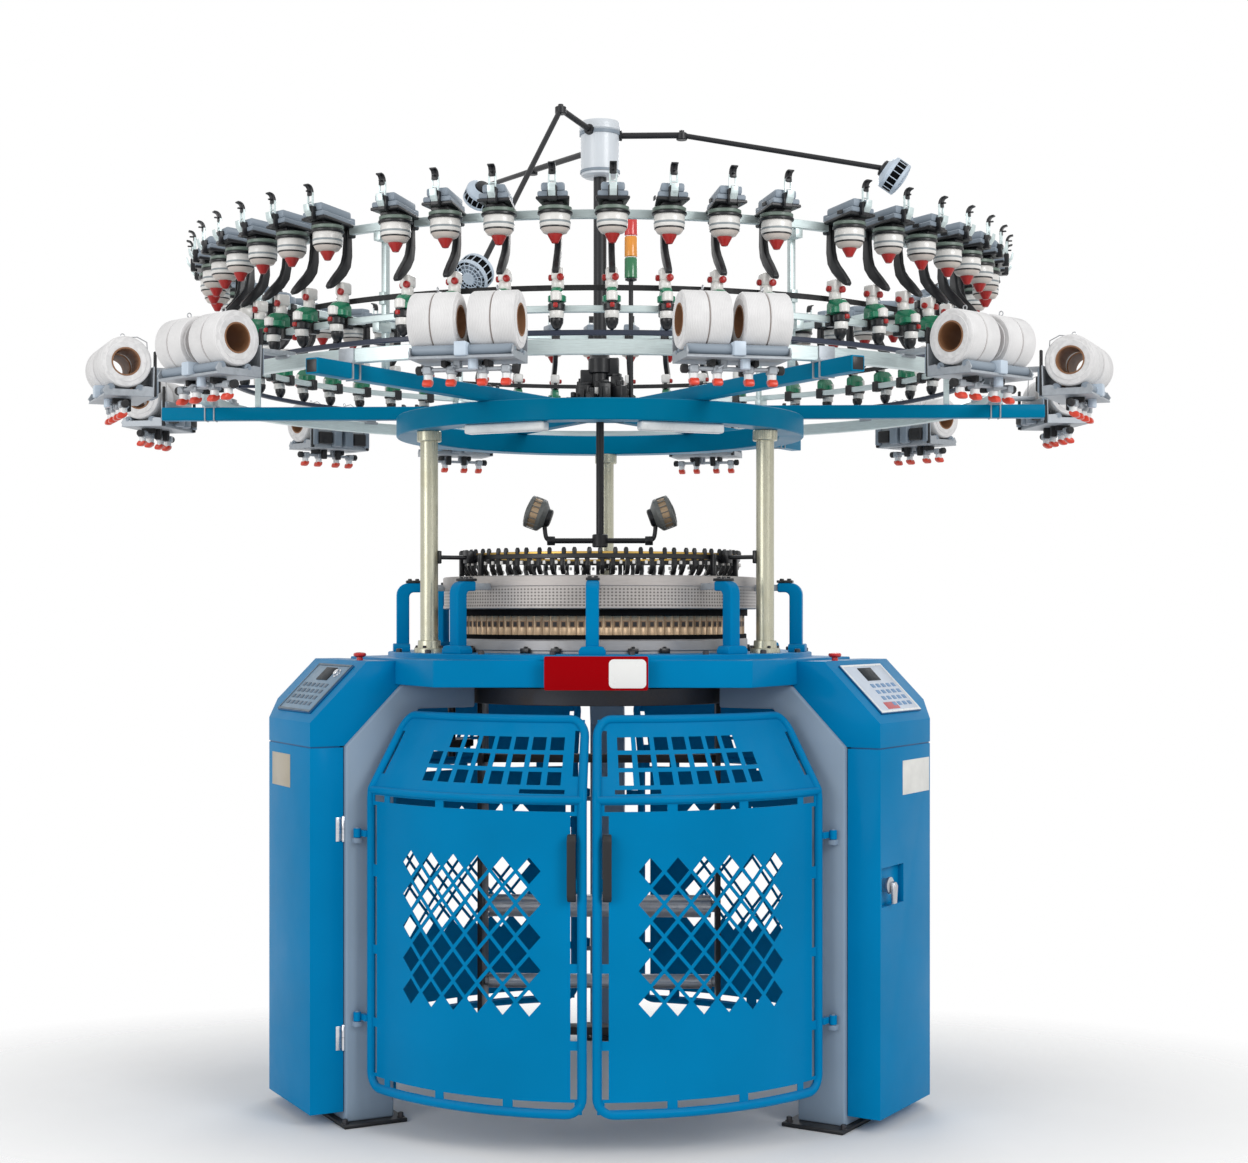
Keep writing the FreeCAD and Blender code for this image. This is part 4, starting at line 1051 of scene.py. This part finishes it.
def build_storage_feeders():
    housing = [tapered(1086, 22, 2466, 1214, 38, 2474, 14, 3, 1),
               tapered(1090, 18, 2480, 1212, 30, 2488, 22, 6),
               block((1074, 1100), 17, (2462, 2488), 4)]
    hook = eased([(1221, 2526, 0), (1222, 2540, 0), (1228, 2549, 0), (1239, 2552, 0)], 3)
    black = [block((1132, 1196), 24, (2456, 2466), 2, 1),
             turned([(42, 2439), (44, 2441), (44, 2445), (42, 2447)], 24, DRUM_AT),
             turned([(35, 2404), (37.5, 2405), (37.5, 2407.5), (36, 2408.5)], 24, DRUM_AT),
             block((1068, 1094), 14, (2438, 2464), 3, 1),
             block((1158, 1178), (-40.5, -37), (2474, 2484), 0.8, 1),
             bent_strip([(1087, 2462), (1087, 2424), (1088, 2392), (1094, 2366), (1108, 2346),
                         (1128, 2326), (1150, 2306), (1158, 2299)],
                        [16, 20, 24, 27, 27, 25, 17, 9], 8, 2),
             block((1208, 1227), 12, (2462, 2500), 3, 1),
             bent_strip([(p.x, p.y) for p in hook],
                        [9 - 5 * i / (len(hook) - 1) for i in range(len(hook))], 9, 1.5),
             block((1224, 1236), 3, (2534, 2538), 1, 1),
             tapered(1084, 26, 2460, 1214, 42, 2467, 8, 2, 1)]
    links = [block((1218, 1224), (-10, -6), (2496, 2534), 1, 1),
             block((1218, 1224), (6, 10), (2496, 2534), 1, 1),
             block((1219, 1223), 8, (2508, 2511), 0.6, 1),
             bent_strip([(1224, 2474), (1234, 2486), (1238, 2502)], [7, 6, 3], 9, 1)]
    drum, disc, collar, stripe = (turned(levels, 24, DRUM_AT) for levels in (
        [(37, 2408), (38.5, 2410), (38.5, 2438), (37, 2440)],
        [(40, 2447), (42, 2449), (42, 2456), (38, 2458)],
        [(21, 2391), (29, 2394), (34, 2401), (35.5, 2404)],
        [(38.2, 2416), (39, 2417), (39, 2421), (38.2, 2422)]))
    tip = turned([(4, 2368), (8, 2369), (14, 2380), (18, 2387), (19, 2391)], 16, DRUM_AT)
    fit_around(FEEDER_ANGLES,
               (housing, "feeder_housings", "storage_feeder_housings"),
               (black, "feeder_clamps_and_arms", "storage_feeder_guides"),
               (drum, "feeder_drums", "storage_feeder_drums"),
               (disc, "feeder_discs", DISC, "housing_grey"),
               (collar, "feeder_collars", PEACH, "feeder_white"),
               (stripe, "feeder_drum_bands", RIM_GREY, "housing_grey"),
               (tip, "feeder_tips", TIP_RED, "red_plastic"),
               (links, "feeder_links", ALU, "rail_alu"))


def build_positive_feeders():
    """The tape-driven feeders, and the cable duct under them."""
    body = [side_plate([(1082, 2226), (1082, 2256), (1094, 2268), (1132, 2266), (1146, 2254),
                        (1144, 2236), (1132, 2228)], -12, 12, 4),
            turned([(20, 2229), (23, 2231), (23, 2244), (20, 2246)], 16, 1118)]
    cap = [block((1084, 1120), 15, (2286, 2318), 6, 3),
           turned([(15, 2266), (16, 2268), (16, 2284), (14, 2287)], 16, 1103),
           turned([(17, 2188), (18, 2190), (18, 2206), (17, 2208)], 16, 1128),
           turned([(12, 2230), (14, 2232), (14, 2250), (10, 2254)], 16, 1140)]
    knob = [aim(turned([(7, 0), (9, 2), (9, 10), (6, 12)], 12), (1116, 9, 2292), (1, 0, 0)),
            aim(turned([(6, 0), (8, 2), (8, 9), (5, 11)], 12), (1100, -13, 2294), (0, -1, 0)),
            block((1140, 1156), 6, (2212, 2224), 3)]
    black = [block((1076, 1100), 13, (2198, 2232), 2.5, 1),
             turned([(19, 2206), (22, 2209), (22, 2222), (19, 2225)], 16, 1128),
             turned([(4, 2160), (10, 2164), (16, 2176), (17, 2186), (16, 2189)], 16, 1124),
             block((1120, 1150), 9, (2222, 2236), 3, 1),
             block((1086, 1096), 6, (2264, 2288), 1.5, 1)]
    fit_around(FEEDER_ANGLES,
               (body, "tape_feeder_bodies", "positive_feeder_bodies"),
               (cap, "tape_feeder_wheels_and_caps", "positive_feeder_wheels"),
               (knob, "tape_feeder_knobs", TIP_RED, "red_plastic"),
               (black, "tape_feeder_brackets", GUIDE, "guide_black"))
    hanger = block((1060, 1114), 5, (2149, 2158), 1)
    fit([rim(1112, 1124, 2147, 2160), around(hanger, ARM_ANGLES)], "feeder_cable_duct", DUCT,
        "guide_black")


# ---- elastane units ----

ROLL_R, ROLL_AT, ROLL_Z, ROLL_SHIFT = 69, 1454, 2136, 72.5
SENSORS_S = (-95, -38, 38, 95)


def roll_pair(section, sides):
    """Two rings made about Z, laid round the machine at the places of a unit's two rolls."""
    return [shift(turn(hoop(section, sides), 90, "X"), ROLL_AT, s, ROLL_Z)
            for s in (-ROLL_SHIFT, ROLL_SHIFT)]


def build_rolls():
    """The wound rolls, with round shoulders, stepped end faces and a groove at the middle; the
    darker ring on the groove's floor is painted shade.
    """
    r = ROLL_R
    side = [(r - 2.5, 1.5), (r, 3), (r, 51), (r - 3, 55.5), (r - 8, 57), (55, 57), (54, 58.5),
            (46, 58)]
    section = ([(39, -57)] + [(x, -z) for x, z in reversed(side)] + side + [(39, 57)])
    core = [(35, -58), (38.8, -58), (38.8, 58), (35, 58)]
    groove = [(61, -1.6), (r - 2.2, -1.6), (r - 2.2, 1.6), (61, 1.6)]
    fit_around(ROLL_ANGLES, (roll_pair(section, 48), "wound_rolls", "elastane_rolls"),
               (roll_pair(core, 32), "roll_tubes", CORE, "roll_white"),
               (roll_pair(groove, 40), "roll_seams", ROLL_GROOVE_SHADE, "roll_white"))


def build_cradles():
    """What carries and drives a unit's rolls, with its yarn sensors, at x from the axis."""
    x = ROLL_AT
    tray = [side_plate([(x - 78, 2126), (x - 74, 2126), (x - 73, 2050), (x + 58, 2050),
                        (x + 60, 2043), (x - 76, 2043)], -126, 126, 1, 1)]
    for s in (-124, 124):
        tray.append(side_plate([(x - 74, 2048), (x + 56, 2048), (x + 62, 2056), (x + 52, 2072),
                                (x + 28, 2062), (x - 28, 2062), (x - 52, 2072), (x - 74, 2070)],
                               s - 2, s + 2, 1, 1))
    tray += [block((1186, x - 75), 20, (2125, 2137), 2), block((1182, 1218), 26, (2118, 2127), 2)]
    middle = [block((x + 10, x + 66), 15, (2048, 2082), 4),
              block((x - 20, x + 20), 9, (2046, 2076), 2),
              turned([(10, 2020), (12, 2022), (12, 2044), (10, 2046)], 16, x + 30, 22)]
    bars = [block((x - 8, x + 10), 112, (2019, 2028), 2, 1)]
    bars += [block((x - 13, x + 15), (s - 11, s + 11), (2012, 2032), 3, 1) for s in SENSORS_S]
    drives = [shift(turn(turned([(5, -127), (5, -122), (11.6, -121), (12, -120), (12, 120),
                                 (11.6, 121), (5, 122), (5, 127)], 16), 90, "X"), x + dx, 0,
                    2064.5) for dx in (-39.5, 39.5)]
    rollers = []
    for s in (-1, 1):
        bars.append(block((x - 10, x + 10), (s * 24 - 9, s * 24 + 9), (2022, 2046), 2, 1))
        bars.append(tube([(x, s * 24, 2030), (x + 22, s * 28, 2030), (x + 26, s * 42, 2022)], 3,
                         False, 1))
        rollers.append(aim(turned([(8, 0), (11, 2), (11, 14), (8, 17)], 14), (x, 108 * s, 2023),
                           (0, s, 0)))
        for blocks, x0, x1, at, wide, z0, z1, round_off, segments in (
                (rollers, -84, -76, 118, 5, 2044, 2168, 2, 1),
                (rollers, -22, 24, 52, 6, 2028, 2044, 2, 1),
                (rollers, -30, -12, 30, 8, 2010, 2044, 2, 1),
                (rollers, -100, -78, 72, 26, 2058, 2100, 4, 2),
                (drives, -104, -78, 24, 16, 2050, 2112, 4, 2),
                (drives, -90, -78, 110, 10, 2052, 2120, 3, 2)):
            blocks.append(block((x + x0, x + x1), (s * at - wide, s * at + wide), (z0, z1),
                                round_off, segments))
    sleeves = [turned([(8, 1996), (11, 1998), (11, 2012), (9, 2014)], 12, x + 2, s)
               for s in SENSORS_S]
    tips = [side_plate([(x - 10, 2001), (x + 14, 2001), (x + 20, 1992), (x + 19, 1984),
                        (x + 5, 1983), (x - 7, 1990)], s - 11, s + 11, 5, 2) for s in SENSORS_S]
    wires = []
    for s in (-ROLL_SHIFT, ROLL_SHIFT):
        wires += [tube([(x - 70, s, 2132), (x - 66, s, 2198), (x - 40, s, 2211),
                        (x - 8, s, 2208)], 1.6, False, 1),
                  tube([(x + 6 * cos(t * 0.7), s, 2212 + 6 * sin(t * 0.7)) for t in range(9)],
                       1.4, True, 1)]
    fit_around(ROLL_ANGLES, (tray, "roll_trays", "roll_cradles"),
               (middle, "cradle_middle_blocks", FAN, "cradle_grey"),
               (bars, "sensor_bars", CAST, "cradle_grey"),
               (rollers, "cradle_blocks", RUBBER, "belt_rubber"),
               (drives, "cradle_rollers", HAMMER, "cradle_grey"),
               (tips, "sensor_wedges", "yarn_sensors"),
               (sleeves, "sensor_sleeves", OPAL, "cradle_grey"),
               (wires, "roll_wires", NEEDLE, "needle_steel"))


# ---- yarn guides, lamps and fans ----

def build_yarn_guides():
    """The guide ring on its three bars, with chunky hanging fingers round it."""
    fit(rim(417, 425, 1625, 1632, 1), "brass_ring", BRASS, "zinc")
    bracket = [tube([(428, 0, 1619), (541, 0, 1619)], 6.5), block((534, 546), 20, (1600, 1638), 3),
               block((420, 452), 14, (1602, 1640), 3)]
    parts = [rim(414, 428, 1612, 1626, 1.5), around(bracket, LEG_ANGLES)]
    parts.append(around(block((430, 444), 7, (1564, 1628), 2),
                        [a + b for a in LEG_ANGLES for b in (-9, 9)]))
    for first, lean in ((2.5, -3), (7.5, 3)):
        finger = side_plate([(428, 1624), (413, 1624), (409, 1608), (413, 1592), (405, 1578),
                             (402, 1566), (409, 1566), (417, 1576), (425, 1592), (423, 1608)],
                            -6 - lean, 6 - lean, 1.5, 1)
        head = turned([(6, 1624), (7, 1628), (7, 1638), (4, 1644)], 8, 424, lean)
        parts.append(around([finger, head], [first + 10 * k for k in range(36)]))
    fit_node(parts, "yarn_guide_fingers", "yarn_guide_ring")
    eye = shift(turn(band(2.6, 6, -1.5, 1.5, 8), 90, "Y"), 404, 0, 1573)
    stud = block((424, 430), 4, (1596, 1606), 1, 1)
    fit([around(eye, [5 * k + 2.5 for k in range(72)]), around(stud, range(5, 365, 5))],
        "ceramic_eyes", WHITE, "feeder_white")


def build_centre():
    post = [turned([(20, STAR_HIGH), (20, 2787.5)], 32), turned([(12, 1697.5), (12, 2048)])]
    fit_node(post, "centre_tubes", "centre_post")
    fit([turned([(34, 2089), (34, 2150), (28, 2156), (28, 2186), (36, 2190), (36, 2232),
                 (30, 2238), (26, 2262), (20.5, 2264)], 28),
         block((22, 58), 18, (2180, 2236), 4), block((-60, -20), 14, (2150, 2200), 4),
         block((-16, 18), (-60, -18), (2104, 2160), 4)], "centre_boxes", GUIDE, "guide_black")
    fit([block((-14, 16), (-61, -59), (2118, 2140), 0.5),
         block((56, 59), 10, (2190, 2224), 0.5)], "centre_cable_clips", WHITE, "feeder_white")
    tower = (95, -20)
    fit_node(turned([(7, STAR_HIGH), (7, 2466), (18, 2470), (18, 2474)], 20, *tower),
             "tower_pole", "signal_tower", BLACK)
    for name, z0, z1, material in (("green", 2476, 2538, LAMP_GREEN),
                                   ("amber", 2541, 2603, LAMP_AMBER),
                                   ("red", 2606, 2672, LAMP_RED)):
        lens = turned([(18, z0), (20, z0 + 2), (20, z1 - 3), (18, z1)], 32, *tower)
        fit(lens, "tower_lens_" + name, material, "tower_plastic")


def fan_head(radius, depth):
    """A fan head about Z: a pale rear shell, two rim bands, wires and a cap."""
    cage = [hoop([(27, -20), (30, -23), (radius - 8, -14), (radius - 1, -9), (radius, -5),
                  (radius - 2.5, -5), (radius - 9, -11), (30, -19)], 32),
            band(radius - 2, radius, -6, 3, 32),
            hoop([(radius - 3, depth - 4), (radius, depth - 3), (radius, depth + 5),
                  (radius - 4, depth + 8), (radius - 5, depth + 6)], 32)]
    for share, z in ((0.76, depth + 9), (0.54, depth + 11), (0.34, depth + 12)):
        line = [(x, y, z) for x, y in arc(0, 0, radius * share, range(0, 360, 18))]
        cage.append(tube(line, 1.6, True, 1))
    for k in range(16):
        spoke = tube([(radius - 1, 0, -6), (radius - 1, 0, depth), (radius * 0.76, 0, depth + 9),
                      (12, 0, depth + 12)], 1.5, False, 1)
        cage.append(turn(spoke, 22.5 * k))
    cage.append(turned([(17, depth + 8), (19, depth + 11), (17, depth + 14), (4, depth + 15)],
                       20))
    return one(cage)


def fan_blades(radius):
    parts = [turned([(11, 0), (12, 1), (12, 12), (9, 14)], 20)]
    for k in range(5):
        blade = cut_plate([(9, -5, 7), (radius * 0.55, -17, 3), (radius * 0.95, -14, 2),
                           (radius, 0, 4), (radius * 0.9, 13, 7), (radius * 0.5, 12, 9),
                           (9, 5, 8)], (0, 0, 1.6), 0.5)
        parts.append(turn(blade, 72 * k))
    return one(parts)


def fan_gap(radius, depth):
    """The band between a fan head's two shells; on the top fans it is painted shade for the gap.
    """
    return band(radius - 9, radius - 4, 2, depth - 2, 32)


def motor_can(radius, back, front):
    return turned([(radius - 6, back), (radius - 1, back + 3), (radius, back + 7),
                   (radius, front - 4), (radius - 3, front)], 28)


# for each arm of the top fan its angle, where it leaves the bucket, its elbow and its end
TOP_FANS = ((90, 2916, (250, 2916), (857, 2815)), (-30, 2922, (220, 2950), (620, 2425)),
            (-150, 2880, (470, 2905), (850, 2930)))
TOP_DROP, LOWER_RISE = 35, 20


def build_top_fans():
    bucket = turned([(48, 2788), (57, 2793), (58, 2802), (60, 2926), (64, 2930), (64, 2938),
                     (62, 2940), (62, 2952), (60, 2956)], 44)
    fit_node(bucket, "fan_bucket", "top_fan_bucket")
    fit([band(58, 61, 2800, 2808, 44), band(60, 63, 2915, 2925, 44)], "fan_bucket_bands", HAMMER,
        "housing_grey", "top_fan")
    arms, cages, gaps = [], [], []
    for i, (angle, z, (r1, z1), (r2, z2)) in enumerate(TOP_FANS):
        collar, elbow, end = polar(52, angle, z), polar(r1, angle, z1), polar(r2, angle, z2)
        axis = polar(cos(radians(TOP_DROP)), angle, -sin(radians(TOP_DROP)))
        clamp = shift(turned([(15, -15), (17, -13), (17, 5), (15, 7)], 20), *elbow)
        root = aim(turned([(14, -4), (16, -2), (16, 14), (12, 16)], 20), collar, elbow - collar)
        knob = aim(turned([(5, 0), (8, 2), (8, 8), (6, 9)], 12), elbow + Vector((0, 0, 6)),
                   (0, 0, 1))
        arms += [tube([collar, elbow], 9.5), tube([elbow, end + axis * 8], 8), clamp, root,
                 aim(motor_can(26, 0, 46), end, axis), knob]
        cages.append(aim(fan_head(52, 34), end + axis * 34, axis))
        gaps.append(aim(fan_gap(52, 34), end + axis * 34, axis))
        fit_node(aim(fan_blades(41), end + axis * 47, axis), "top_fan_blades_%d" % (i + 1),
                 "top_fan_rotor_%d" % (i + 1))
    fit_node(arms, "top_fan_tubes", "top_fan_arms")
    fit(cages, "top_fan_cages", FAN, "fan_grey", "top_fan")
    # painted shade in the gap between each top fan head's two shells
    fit(gaps, "top_fan_gap_shade", GAP_SHADE, "guide_black", "top_fan")


def build_lower_fans():
    parts = [turned([(20, 1657), (24, 1660), (24, 1694), (20, 1697)], 28),
             tube([(-158, 0, 1677), (158, 0, 1677)], 8.5)]
    cages, gaps = [], []
    for side, name in ((-1, "left"), (1, "right")):
        head = Vector((side * 172, 0, 1752))
        axis = Vector((side * cos(radians(LOWER_RISE)), 0, sin(radians(LOWER_RISE))))
        parts += [tube(eased([(side * 150, 0, 1677), (side * 166, 0, 1690), tuple(head)], 5), 7),
                  aim(turned([(13, -12), (14, -10), (14, 10), (13, 12)], 18),
                      (side * 150, 0, 1677), (1, 0, 0)),
                  aim(motor_can(28, -24, 22), head, axis)]
        cages.append(aim(fan_head(50, 30), head + axis * 14, axis))
        gaps.append(aim(fan_gap(50, 30), head + axis * 14, axis))
        fit_node(aim(fan_blades(39), head + axis * 23, axis), "lower_fan_blades_" + name,
                 "lower_fan_rotor_" + name)
    fit_node(parts, "lower_fan_tubes", "lower_fan_arm")
    fit(cages, "lower_fan_cages", GUARD, "fan_grey", "lower_fan")
    fit(gaps, "lower_fan_bands", CAM_TAN, "cam_tan", "lower_fan")


for build in (build_base, build_gates, build_cabinets, build_knitting_head, build_columns,
              build_star, build_rails, build_storage_feeders, build_positive_feeders,
              build_rolls, build_cradles, build_yarn_guides, build_centre, build_top_fans,
              build_lower_fans):
    build()


# ---- floor, light and camera ----

def floor_material():
    """A grey floor round the machine, a painted shadow pool, that fades into the white background
    at its rim.
    """
    material = bpy.data.materials.new("floor_painted_shadow_pool")
    material.use_nodes = True
    board = Board(material.node_tree)
    shader = material.node_tree.nodes["Principled BSDF"]
    shader.inputs["Roughness"].default_value = 0.75
    where = board.where()
    grain = board.remap(board.noise(where, 3, 4), 0.3, 0.7, 0.97, 1.0)
    # painted shadow: the grey base colour is kept in an oval round the machine and gives way to
    # the white background outside it
    board.wire(board.scaled((0.8, 0.8, 0.8), grain), shader.inputs["Base Color"])
    shadow_pool_oval = board.node("VectorMath", where, (0.68, 1.25, 1), operation="MULTIPLY")
    reach = board.node("VectorMath", shadow_pool_oval.outputs[0], operation="LENGTH")
    shadow_pool_edge = board.remap(reach.outputs["Value"], 0.8, 1.75, 0, 1)
    clear = board.node("BsdfTransparent")
    blend = board.node("MixShader", shadow_pool_edge, shader.outputs[0], clear.outputs[0])
    board.wire(blend.outputs[0], material.node_tree.nodes["Material Output"].inputs["Surface"])
    return material


def lay_floor():
    deselect_all()
    bpy.ops.mesh.primitive_circle_add(vertices=96, radius=6.5, fill_type="NGON")
    floor = bpy.context.object
    floor.name = "studio_floor"
    floor.data.materials.append(floor_material())


def light_room():
    """White for what the camera, gloss and glass see, and a softer level as light."""
    world = bpy.data.worlds.new("studio")
    bpy.context.scene.world = world
    world.use_nodes = True
    board = Board(world.node_tree)
    sky = world.node_tree.nodes["Background"]
    path = board.node("LightPath").outputs
    seen = board.math("MAXIMUM", path["Is Camera Ray"],
                      board.math("MAXIMUM", path["Is Glossy Ray"], path["Is Transmission Ray"]))
    board.wire(board.remap(seen, 0, 1, 0.62, 1.0), sky.inputs["Strength"])
    sky.inputs["Color"].default_value = (1, 1, 1, 1)
    for name, spot, size, power, aim_at in (
            ("key", (4.2, -5.0, 4.4), 3.2, 165, (0, 0, 1.3)),
            ("fill", (-4.0, -4.6, 2.8), 3.6, 95, (0, 0, 1.2)),
            ("back", (0.5, 4.8, 4.6), 3.0, 80, (0, 0, 1.8))):
        bpy.ops.object.light_add(type="AREA", location=spot)
        lamp = bpy.context.object
        lamp.name = name
        lamp.data.shape = "DISK"
        lamp.data.size = size
        lamp.data.energy = power
        lamp.rotation_euler = (Vector(aim_at) - Vector(spot)).to_track_quat("-Z", "Y").to_euler()


EYE_DISTANCE, EYE_ANGLE, EYE_HEIGHT = 6.0, 2.0, 1.45


def set_camera():
    """The photo's view: level, from slightly to the right of the front, towards the axis."""
    bpy.ops.object.camera_add()
    camera = bpy.context.object
    camera.name = "photo_camera"
    camera.location = polar(EYE_DISTANCE, EYE_ANGLE, EYE_HEIGHT)
    camera.rotation_euler = (radians(90), 0, radians(EYE_ANGLE))
    camera.data.sensor_width = 36
    camera.data.lens = 56.54
    camera.data.shift_x, camera.data.shift_y = 0.0192, 0.0268
    camera.data.clip_end = 100
    bpy.context.scene.camera = camera


lay_floor()
light_room()
set_camera()
bpy.context.scene.view_settings.view_transform = "Standard"
